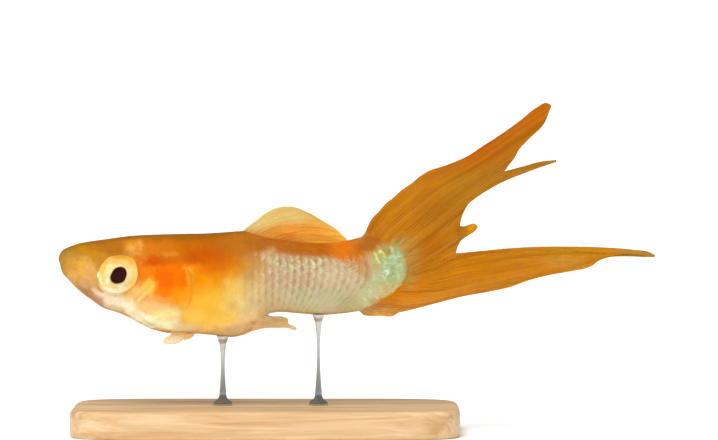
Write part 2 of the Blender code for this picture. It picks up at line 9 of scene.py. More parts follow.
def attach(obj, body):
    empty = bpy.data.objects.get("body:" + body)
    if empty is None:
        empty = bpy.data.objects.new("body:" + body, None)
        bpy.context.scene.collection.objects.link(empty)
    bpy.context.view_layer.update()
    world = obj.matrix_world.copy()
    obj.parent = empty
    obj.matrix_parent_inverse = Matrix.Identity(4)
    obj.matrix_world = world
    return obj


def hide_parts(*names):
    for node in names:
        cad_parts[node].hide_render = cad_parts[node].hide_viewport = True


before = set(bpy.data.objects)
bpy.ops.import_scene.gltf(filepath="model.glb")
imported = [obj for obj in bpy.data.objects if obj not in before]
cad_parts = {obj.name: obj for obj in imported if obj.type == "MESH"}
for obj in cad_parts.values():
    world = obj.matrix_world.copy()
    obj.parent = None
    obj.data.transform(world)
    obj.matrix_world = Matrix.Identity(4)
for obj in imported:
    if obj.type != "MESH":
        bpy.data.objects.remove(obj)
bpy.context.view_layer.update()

# A guppy is measured in hundredths of its body length, snout to tail root: x counts back from
# the snout, z up from the snout's level and y out to its left side, which the camera sees.
fish = {
    "bodyLength": 0.030,      # metres
    "totalLength": 174.6,     # with the tail
    "snoutHeight": 0.0154,    # metres over the floor
    "seed": 11,               # for the small differences from scale to scale
    "pigment": 0.74,          # painted colours are this share of how bright they look in the light
}
unit = fish["bodyLength"] / 100
bothSides = (("left", 1), ("right", -1))


def placed(points):   # hundredths of the body to metres; left is -Y
    shift = np.array([-fish["totalLength"] / 2, 0.0, fish["snoutHeight"] / unit])
    return (np.asarray(points, float) * (1, -1, 1) + shift) * unit


def linear(code):   # an sRGB hex value as linear red, green and blue
    value = np.array([int(code[i:i + 2], 16) / 255 for i in (1, 3, 5)])
    return np.where(value <= 0.04045, value / 12.92, ((value + 0.055) / 1.055) ** 2.4)


def ramp(value, low, high):   # 0 below low, 1 above high, and smooth between
    t = np.clip((value - low) / (high - low), 0, 1)
    return t * t * (3 - 2 * t)


def span(value, a, b, c, d):   # 0 below a, 1 from b to c and 0 again above d
    return ramp(value, a, b) * (1 - ramp(value, c, d))


def bell(value, centre, width):   # 1 at the centre, falling off smoothly on both sides
    return np.exp(-(((value - centre) / width) ** 2))


def turnedBy(x, z, degrees):   # about the y axis
    c, s = math.cos(math.radians(degrees)), math.sin(math.radians(degrees))
    return x * c - z * s, x * s + z * c


def betweenTwo(points, slope, i, t, run):   # the cubic from point i to the next, a run apart
    return (
        points[i] * (1 + 2 * t) * (1 - t) ** 2 + points[i + 1] * t**2 * (3 - 2 * t)
        + run * t * (1 - t) * (slope[i] * (1 - t) - slope[i + 1] * t)
    )


def smooth(points, at):   # the curve through the points that never swings past one
    x, z = np.array(points, float).T
    step = np.diff(x)
    rise = np.diff(z) / step
    slope = np.zeros(len(x))
    sameWay = rise[:-1] * rise[1:] > 0
    total = np.where(sameWay, rise[:-1] + rise[1:], 1.0)
    slope[1:-1] = np.where(sameWay, 2 * rise[:-1] * rise[1:] / total, 0.0)
    slope[0], slope[-1] = rise[0], rise[-1]
    at = np.clip(np.asarray(at, float), x[0], x[-1])
    i = np.clip(np.searchsorted(x, at, side="right") - 1, 0, len(x) - 2)
    return betweenTwo(z, slope, i, (at - x[i]) / step[i], step[i])


def alongLine(line):   # how far along a line each of its points lies
    return np.concatenate([[0.0], np.cumsum(np.linalg.norm(np.diff(line, axis=0), axis=1))])


def evenLine(points, count=None, step=None):   # even points on a smooth line through these
    points = np.array(points, float)
    reach = alongLine(points)
    slope = np.gradient(points, reach, axis=0)
    fine = np.linspace(0, reach[-1], 60 * len(points))
    i = np.clip(np.searchsorted(reach, fine, side="right") - 1, 0, len(points) - 2)
    run = np.diff(reach)[i][:, None]
    line = betweenTwo(points, slope, i, (fine - reach[i])[:, None] / run, run)
    length = alongLine(line)
    even = np.linspace(0, length[-1], count or max(3, round(length[-1] / step) + 1))
    return np.stack([np.interp(even, length, line[:, k]) for k in range(line.shape[1])], axis=1)


def noiseField(x, z, size, seed):
    # Smooth random hills between about -1 and 1 and size across: two lattices of random heights,
    # turned against each other so that neither one's rows show, and moved so that no corner does
    cells = 64
    grid = np.random.default_rng(seed).uniform(-1, 1, (cells, cells))
    total = 0
    for turn in (0.5, 1.4):
        u = (x * math.cos(turn) - z * math.sin(turn)) / size + 200.3 + 10 * turn
        v = (x * math.sin(turn) + z * math.cos(turn)) / size + 200.7
        i, j = np.floor(u).astype(int), np.floor(v).astype(int)
        s, t = ramp(u - i, 0, 1), ramp(v - j, 0, 1)
        i, j, nextI, nextJ = i % cells, j % cells, (i + 1) % cells, (j + 1) % cells
        near = grid[i, j] * (1 - t) + grid[i, nextJ] * t
        far = grid[nextI, j] * (1 - t) + grid[nextI, nextJ] * t
        total = total + near * (1 - s) + far * s
    return total * 0.75


def stirred(value, u, v, layers):   # moved by noise, each layer with its reach, size and seed
    return value + sum(reach * noiseField(u, v, size, seed) for reach, size, seed in layers)


# Materials

def addNode(tree, kind, inputs=None, stops=None, **settings):
    # One node, each of its inputs set or linked; stops are (position, level) pairs of a grey ramp
    node = tree.nodes.new(kind)
    for name, value in settings.items():
        setattr(node, name, value)
    for name, value in (inputs or {}).items():
        if isinstance(value, bpy.types.NodeSocket):
            tree.links.new(value, node.inputs[name])
        else:
            node.inputs[name].default_value = value
    if stops:
        node.color_ramp.interpolation = "EASE"
        while len(node.color_ramp.elements) < len(stops):
            node.color_ramp.elements.new(0.5)
        for element, (position, level) in zip(node.color_ramp.elements, stops):
            element.position, element.color = position, (level, level, level, 1)
    return node


def newMaterial(name, values):   # a Principled material, its node tree and its Object coordinates
    made = bpy.data.materials.new(name)
    made.use_nodes = True
    tree = made.node_tree
    tree.nodes.clear()
    shader = addNode(tree, "ShaderNodeBsdfPrincipled", values)
    addNode(tree, "ShaderNodeOutputMaterial", {"Surface": shader.outputs[0]})
    return made, tree, shader, addNode(tree, "ShaderNodeTexCoord").outputs["Object"]


def noiseAt(tree, spot, scale, detail=2.0, roughness=0.5, distortion=0.0):
    # Noise of this many hills a metre, or of a unit of its map, and stretched where the scale
    # has a number for each way
    if isinstance(scale, tuple):
        spot = addNode(tree, "ShaderNodeMapping", {"Vector": spot, "Scale": scale}).outputs[0]
        scale = 1.0
    return addNode(tree, "ShaderNodeTexNoise", {
        "Vector": spot, "Scale": scale, "Detail": detail, "Roughness": roughness, "Distortion": distortion,
    }).outputs[0]


def grained(tree, shader, gloss, height, roughness, bump, strength, between=(0.0, 1.0)):
    # Roughness that follows one noise between two values, and bump of so many metres by another
    rough = addNode(tree, "ShaderNodeMapRange", {
        "Value": gloss, "From Min": between[0], "From Max": between[1],
        "To Min": roughness[0], "To Max": roughness[1],
    })
    tree.links.new(rough.outputs[0], shader.inputs["Roughness"])
    hills = addNode(tree, "ShaderNodeBump", {"Height": height, "Strength": strength, "Distance": bump})
    tree.links.new(hills.outputs[0], shader.inputs["Normal"])
    return hills


def layered(tree, colour, source, layers, *shares):
    # Colours laid over the one below by ramps of one value, less where a share is lower
    for stops, tint, blend in layers:
        share = addNode(tree, "ShaderNodeValToRGB", {"Fac": source}, stops).outputs[0]
        for by in shares:
            share = addNode(tree, "ShaderNodeMath", {0: share, 1: by}, operation="MULTIPLY").outputs[0]
        colour = addNode(tree, "ShaderNodeMix", {"A": colour, "B": tint, "Factor": share},
                         data_type="RGBA", blend_type=blend).outputs["Result"]
    return colour


def blended(tree, low, high, share):   # from one colour to the other as the share rises
    return addNode(tree, "ShaderNodeMix", {
        "A": (*linear(low), 1), "B": (*linear(high), 1), "Factor": share,
    }, data_type="RGBA").outputs["Result"]


def shaded(tree, colour, noise, low, high, between):   # a colour made lighter and darker by a noise
    shade = addNode(tree, "ShaderNodeMapRange", {
        "Value": noise, "From Min": between[0], "From Max": between[1], "To Min": low, "To Max": high,
    })
    return addNode(tree, "ShaderNodeMix", {"A": colour, "B": shade.outputs[0], "Factor": 1.0},
                   data_type="RGBA", blend_type="MULTIPLY").outputs["Result"]


def pearled(tree, colour, spot):
    # A pale crescent inside each scale's free edge, with painted shadow before it where the free edge of
    # the scale in front overhangs, broken up by glitter, and as strong as the mesh's own attribute says
    pearl = addNode(tree, "ShaderNodeAttribute", attribute_name="pearl").outputs
    scale = addNode(tree, "ShaderNodeUVMap", uv_map="scaleMap").outputs[0]
    within = addNode(tree, "ShaderNodeSeparateXYZ", {0: scale}).outputs
    halfWay = addNode(tree, "ShaderNodeMath", {0: within["Y"]}, operation="ABSOLUTE").outputs[0]
    across = addNode(tree, "ShaderNodeValToRGB", {"Fac": halfWay}, ((0.4, 1.0), (1.0, 0.45))).outputs[0]
    glitter = addNode(tree, "ShaderNodeValToRGB", {"Fac": noiseAt(tree, spot, (5200, 5200, 2600))},
                      ((0.36, 0.35), (0.6, 1.0))).outputs[0]
    return layered(tree, colour, within["X"], (
        # the first layer is painted shadow behind the free edge of the scale in front; the second is the
        # pale crescent
        (((0.0, 0.1), (0.24, 0.0), (0.4, 0.8), (0.6, 0.4)), (0.80, 0.64, 0.55, 1), "MULTIPLY"),
        (((0.0, 0.5), (0.08, 1.0), (0.15, 0.9), (0.36, 0.0)), pearl["Color"], "MIX"),
    ), across, glitter, pearl["Alpha"])


def flecked(tree, colour, spot, size):
    # Short curly strands of bright pigment with darker gaps, as strong as the attribute says
    fleck = addNode(tree, "ShaderNodeAttribute", attribute_name="fleck").outputs
    return layered(tree, colour, noiseAt(tree, spot, size, distortion=1.4), (
        (((0.36, 0.35), (0.47, 0.0)), (0.62, 0.66, 0.45, 1), "MULTIPLY"),
        (((0.50, 0.0), (0.62, 1.0)), fleck["Color"], "MIX"),
    ), fleck["Alpha"])


# Hills of the flecks' noise each way, a metre, or a unit of a fin's own map of its rays
fleckSizes = {"everyWay": (2300, 2300, 3600), "alongRays": (1.5, 0.3, 1)}


def paintedMaterial(name, values, noiseMm, tint, bumpMm, roughness, flecks=None, pearls=False):
    # The painted colours of a mesh, broken up by a fine noise, with roughness and bump to match
    made, tree, shader, spot = newMaterial(name, values)
    noise = noiseAt(tree, spot, 1000 / noiseMm, 3.0, 0.6)
    colour = addNode(tree, "ShaderNodeAttribute", attribute_name="paint").outputs["Color"]
    if pearls:
        colour = pearled(tree, colour, spot)
    if flecks == "alongRays":
        spot = addNode(tree, "ShaderNodeUVMap", uv_map="rayMap").outputs[0]
    if flecks:
        colour = flecked(tree, colour, spot, fleckSizes[flecks])
    colour = shaded(tree, colour, noise, 1 - tint, 1 + tint, (0.25, 0.75))
    tree.links.new(colour, shader.inputs["Base Color"])
    bump = grained(tree, shader, noise, noise, roughness, bumpMm / 1000, 0.5, (0.3, 0.7))
    return made, tree, shader, bump


# Meshes

def addMesh(name, points, faces, material, paint=None, uv=None):
    # points in metres, faces as rows of three or four corners, and colours for each point: paint,
    # and pearl and fleck with their strength as a fourth value
    mesh = bpy.data.meshes.new(name)
    faces = [np.asarray(f) for f in (faces if isinstance(faces, (list, tuple)) else [faces])]
    corners = np.concatenate([f.ravel() for f in faces]).astype(np.int32)
    sizes = np.concatenate([np.full(len(f), f.shape[1]) for f in faces])
    mesh.vertices.add(len(points))
    mesh.vertices.foreach_set("co", np.asarray(points, np.float32).ravel())
    mesh.loops.add(len(corners))
    mesh.loops.foreach_set("vertex_index", corners)
    mesh.polygons.add(len(sizes))
    mesh.polygons.foreach_set("loop_start", np.concatenate([[0], np.cumsum(sizes)[:-1]]).astype(np.int32))
    mesh.update(calc_edges=True)
    for title, values in (paint or {}).items():
        values = np.asarray(values, float).reshape(len(points), -1)
        strength = values[:, 3:] if values.shape[1] == 4 else np.ones((len(values), 1))
        values = np.concatenate([values[:, :3] * fish["pigment"], strength], axis=1)
        layer = mesh.color_attributes.new(title, "FLOAT_COLOR", "POINT")
        layer.data.foreach_set("color", values.astype(np.float32).ravel())
    for title, values in (uv or {}).items():
        layer = mesh.uv_layers.new(name=title)
        layer.data.foreach_set("uv", np.asarray(values, np.float32)[corners].ravel())
    mesh.validate()
    mesh.shade_smooth()
    mesh.materials.append(material)
    made = bpy.data.objects.new(name, mesh)
    bpy.context.scene.collection.objects.link(made)
    return made


def gridFaces(rows, columns, closed=False):   # four-cornered faces of a grid, joined round if closed
    i = np.arange(rows - 1)[:, None] * columns
    j = np.arange(columns if closed else columns - 1)[None]
    k = (j + 1) % columns
    return np.stack([i + j, i + k, i + columns + k, i + columns + j], axis=2).reshape(-1, 4)


def closedRings(rings):   # points and faces of rings joined up, each end drawn together to its middle
    count, around = rings.shape[:2]
    points = np.concatenate([rings.reshape(-1, 3), rings[:1].mean(axis=1), rings[-1:].mean(axis=1)])
    k = np.arange(around)
    after, last, middle = (k + 1) % around, (count - 1) * around, np.full(around, count * around)
    front = np.stack([after, k, middle], axis=1)
    rear = np.stack([k + last, after + last, middle + 1], axis=1)
    return points, [gridFaces(count, around, closed=True), front, rear]


def keep(piece, slotName, *nodes):   # the piece is part of the model and stands for these solids
    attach(piece, "root")
    if nodes:
        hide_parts(*nodes)
    return piece


print("tools ready")

# The body's form

bodyForm = {
    "back": ((0.0, -0.3), (0.3, 0.8), (0.7, 1.6), (1.5, 2.35), (2.9, 3.05), (6.4, 4.2), (13.5, 5.3),
             (22.2, 6.4), (30.0, 6.75), (36.0, 6.9), (42.0, 7.0), (47.5, 7.3), (54.0, 7.7), (58.0, 6.5),
             (63.0, 5.3), (70.0, 4.5), (77.0, 4.2), (84.0, 4.95), (89.3, 6.2), (104.0, 9.5)),
    "belly": ((0.0, -0.5), (0.3, -1.6), (0.7, -3.2), (1.3, -4.8), (2.3, -5.9), (4.7, -8.5),
              (8.2, -11.45), (9.4, -12.25), (11.7, -14.0), (13.3, -14.9), (15.2, -15.5),
              (18.7, -16.72), (21.5, -18.05), (24.0, -19.5), (28.0, -21.25), (33.0, -22.2), (40.0, -22.3),
              (44.0, -22.6), (50.5, -23.3), (54.0, -22.65), (57.6, -20.8), (60.0, -18.2), (61.5, -16.5),
              (64.5, -15.9), (70.0, -16.3), (77.0, -16.8), (83.0, -16.4), (89.0, -15.7), (104.0, -17.0)),
    "halfWidth": ((0.0, 0.4), (0.3, 1.9), (0.7, 2.8), (1.3, 3.5), (2.9, 4.5), (6.4, 5.8),
                  (12.0, 7.1), (17.5, 7.8), (25.0, 8.3), (33.0, 8.5), (42.0, 8.3), (50.0, 7.6),
                  (56.0, 6.7), (62.0, 5.6), (70.0, 4.5), (80.0, 3.4), (88.0, 2.4), (95.0, 1.6),
                  (104.0, 1.0)),
    "widestLevel": ((0.0, 0.5), (6.0, 0.58), (20.0, 0.62), (45.0, 0.52), (62.0, 0.5), (104.0, 0.5)),
    "upperPower": ((0.0, 2.3), (8.0, 2.7), (22.0, 2.7), (45.0, 2.4), (70.0, 2.1), (104.0, 2.2)),
    "lowerPower": ((0.0, 2.2), (8.0, 1.8), (22.0, 1.75), (38.0, 2.1), (52.0, 2.0), (58.0, 1.6),
                   (61.0, 1.5), (64.0, 1.9), (70.0, 2.0), (104.0, 2.2)),
    # how far back the tail's rays root, the gill cover ends and the cheek ends, as (z, x)
    "rayRoots": ((-17.0, 86.0), (-15.6, 88.6), (-14.0, 92.2), (-12.0, 95.8), (-10.2, 98.2),
                 (-8.4, 99.8), (-6.4, 101.2), (-4.0, 101.9), (-1.6, 101.6), (1.2, 99.8),
                 (4.1, 95.0), (6.1, 89.4), (8.0, 86.0)),
    "gillEdge": ((-23.0, 26.5), (-20.8, 29.2), (-18.4, 33.0), (-16.1, 36.1), (-12.6, 38.4),
                 (-8.5, 39.2), (-5.3, 38.6), (-1.5, 37.4), (2.0, 36.0), (7.5, 34.4)),
    "cheekEdge": ((-19.0, 17.0), (-16.5, 21.5), (-13.0, 25.0), (-8.0, 27.2), (-3.0, 27.6), (2.0, 26.4)),
    "eye": (17.73, -4.6),     # centres of the eye and the nostril, and the eye's half sizes
    "nostril": (5.9, -0.4),
    "eyeSize": (5.75, 5.53),
    # corners of the eye's rim and of the pupil: the way each faces in degrees, how wide, how far out
    "eyeCorners": ((47, 27, 0.13), (115, 20, 0.025), (150, 18, -0.03), (183, 9, 0.09), (226, 26, 0.08),
                   (312, 24, -0.05)),
    "pupilCorners": ((-45, 32, 0.17), (5, 22, 0.06), (118, 24, 0.04), (160, 30, -0.04)),
    "mouth": ((-1.0, 0.5), (3.6, -2.0)),   # from before the snout's tip to its corner
    "jaw": (3.0, -2.4, -0.95),   # the line under the jaw: a point and its slope
    "stalkStart": 62.0,       # behind it the sections bend back to the tail's root
    "rings": 380,
    "around": 256,
    # stations of the rings as (share of the rings, share of the body): many at the snout and the eye
    "ringPlaces": ((0, 0), (0.03, 0.003), (0.1, 0.03), (0.17, 0.1), (0.48, 0.26), (0.62, 0.44),
                   (0.84, 0.9), (1, 1)),
}

# How far the head's features stand off its plain form, in hundredths of the body; grooves are below 0
relief = {
    "orbit": -2.7,
    "orbitRim": 0.08,
    "orbitGroove": -0.03,
    "nostril": -0.32,
    "nostrilRim": 0.05,
    "lipSeam": -0.16,
    "lips": 0.1,
    "lipGroove": -0.07,
    "jawGroove": -0.07,
    "cheek": 0.09,
    "cheekGroove": -0.1,
    "gillFlap": 0.17,
    "gillGroove": -0.05,
    "throatFolds": 0.04,
}


def form(title, at):   # one of the body's curves
    return smooth(bodyForm[title], at)


def halves(x):   # the level where a section is widest, and the height and power of the halves there
    top, bottom = form("back", x), form("belly", x)
    middle = bottom + form("widestLevel", x) * (top - bottom)
    return middle, (top - middle, form("upperPower", x)), (middle - bottom, form("lowerPower", x))


def section(x, angle):
    # Half a superellipse over the widest level and half of one below it, (y/w)^p + (z/h)^p = 1, the
    # angle turning from the back down the left side
    up, out = np.cos(angle), np.sin(angle)
    middle, upper, lower = halves(x)
    height, power = np.where(up > 0, upper, lower)
    y = form("halfWidth", x) * np.sign(out) * np.abs(out) ** (2 / power)
    return y, middle + height * np.sign(up) * np.abs(up) ** (2 / power)


def sideWidth(x, z):   # how far out the plain form's side lies at a point seen from the side
    middle, upper, lower = halves(x)
    height, power = np.where(z > middle, upper, lower)
    share = np.clip(np.abs(z - middle) / height, 0, 0.995)
    return form("halfWidth", x) * (1 - share**power) ** (1 / power)


def bodyShell(stations, around):
    # Sections at the stations, each with points spread evenly round it. Behind stalkStart the
    # sections bend back to the curved line of the ray roots, and thin out to the tail's wedge.
    angle = np.linspace(0, 2 * math.pi, 721)[None]
    flat = np.asarray(stations, float)[:, None] + 0 * angle
    start = bodyForm["stalkStart"]
    x = flat
    for _ in range(8):
        _, z = section(x, angle)
        end = form("rayRoots", z) + 0.3
        x = np.where(flat > start, start + (flat - start) * (end - start) / (100 - start), flat)
    y, z = section(x, angle)
    y = y * (1 - 0.7 * ramp(flat, 85, 100))
    ring = np.stack([x, y, z], axis=2)
    step = np.linalg.norm(np.diff(ring, axis=1), axis=2)
    length = np.concatenate([np.zeros((len(ring), 1)), np.cumsum(step, axis=1)], axis=1)
    even = np.linspace(0, 1, around, endpoint=False)
    return np.stack([
        np.stack([np.interp(even * l[-1], l, r[:, k]) for k in range(3)], axis=1)
        for r, l in zip(ring, length)
    ])


def shellNormals(shell):   # outward normals of the grid, by its two tangents
    alongX = np.gradient(shell, axis=0)
    around = np.roll(shell, -1, axis=1) - np.roll(shell, 1, axis=1)
    normal = np.cross(alongX, around)
    normal /= np.linalg.norm(normal, axis=2, keepdims=True).clip(1e-9)
    return normal


def cornered(angle, corners):   # 1, and more or less where an outline has its corners
    away = lambda at: np.angle(np.exp(1j * (angle - math.radians(at))))
    return 1 + sum(by * bell(away(at), 0, math.radians(width)) for at, width, by in corners)


def nostrilAway(x, z):   # how far from the nostril's centre a point lies
    return np.hypot(x - bodyForm["nostril"][0], z - bodyForm["nostril"][1])


def eyeShare(x, z):   # how far from the eye's centre a point lies, 1 at the eye's rim
    x, z = x - bodyForm["eye"][0], z - bodyForm["eye"][1]
    across, up = bodyForm["eyeSize"]
    return np.hypot(x / across, z / up) / cornered(np.arctan2(z, x), bodyForm["eyeCorners"])


def mouthLine(x):   # the mouth's level at x: it slopes down and back from the snout's tip
    (frontX, frontZ), (cornerX, cornerZ) = bodyForm["mouth"]
    return frontZ + (x - frontX) * (cornerZ - frontZ) / (cornerX - frontX)


def headRelief(x, y, z):
    # How far the skin stands off the plain form: bells and ramps of the distance from each feature
    side = ramp(np.abs(y), 1.2, 3.2)
    away = eyeShare(x, z)
    lift = relief["orbit"] * (1 - ramp(away, 0.95, 1.0)) * side
    rim = relief["orbitRim"] * bell(away, 1.02, 0.05) + relief["orbitGroove"] * bell(away, 1.22, 0.08)
    lift += rim * side
    away = nostrilAway(x, z)
    pit = relief["nostril"] * bell(away, 0, 0.34) + relief["nostrilRim"] * bell(away, 0.75, 0.3)
    lift += pit * side
    over, corner = z - mouthLine(x), bodyForm["mouth"][1][0]
    near = 1 - ramp(x, corner - 1.0, corner + 0.4)
    # the lips' seam is shallow at the tip and runs out on the cheeks
    near = near * (0.5 + 0.5 * bell(np.abs(y), 1.6, 0.8)) * (1 - 0.75 * ramp(np.abs(y), 2.2, 3.4))
    lips = relief["lipSeam"] * bell(over, 0, 0.15) + relief["lips"] * bell(np.abs(over), 0.62, 0.42)
    lift += near * (lips + relief["lipGroove"] * bell(np.abs(over), 1.55, 0.35))
    jawX, jawZ, slope = bodyForm["jaw"]
    jaw = bell(z - jawZ - slope * (x - jawX), 0, 0.5) * span(x, 2.5, 4.0, 8.0, 10.5)
    lift += relief["jawGroove"] * jaw * side
    cheek = x - form("cheekEdge", z)
    step = relief["cheek"] * bell(cheek, -0.7, 0.8) + relief["cheekGroove"] * bell(cheek, 0.25, 0.4)
    lift += step * span(z, -18.5, -15.5, 0.0, 2.5) * side
    gill = x - form("gillEdge", z)
    soft = 0.25 + 0.5 * ramp(-z, 12, 18) + 0.6 * ramp(z, -4, 0)
    flap = relief["gillFlap"] * span(gill, -8, -0.3, -soft, soft)
    flap += relief["gillGroove"] * bell(gill, 0.35, 0.5)
    lift += flap * span(z, -22.6, -20.5, 0.5, 3.5) * (1 - 0.85 * ramp(-z, 9.5, 14))
    fold = relief["throatFolds"] * np.sin((gill + 0.3) * 2.3) * span(gill, -9, -6, -2.2, -0.8)
    return lift + fold * ramp(-z, 15.5, 18.0)


# Markings: soft patches laid one over the other, each an ellipse with its centre, half sizes,
# turn in degrees, colour, strength and, where it isn't 0.9, how soft its edge is

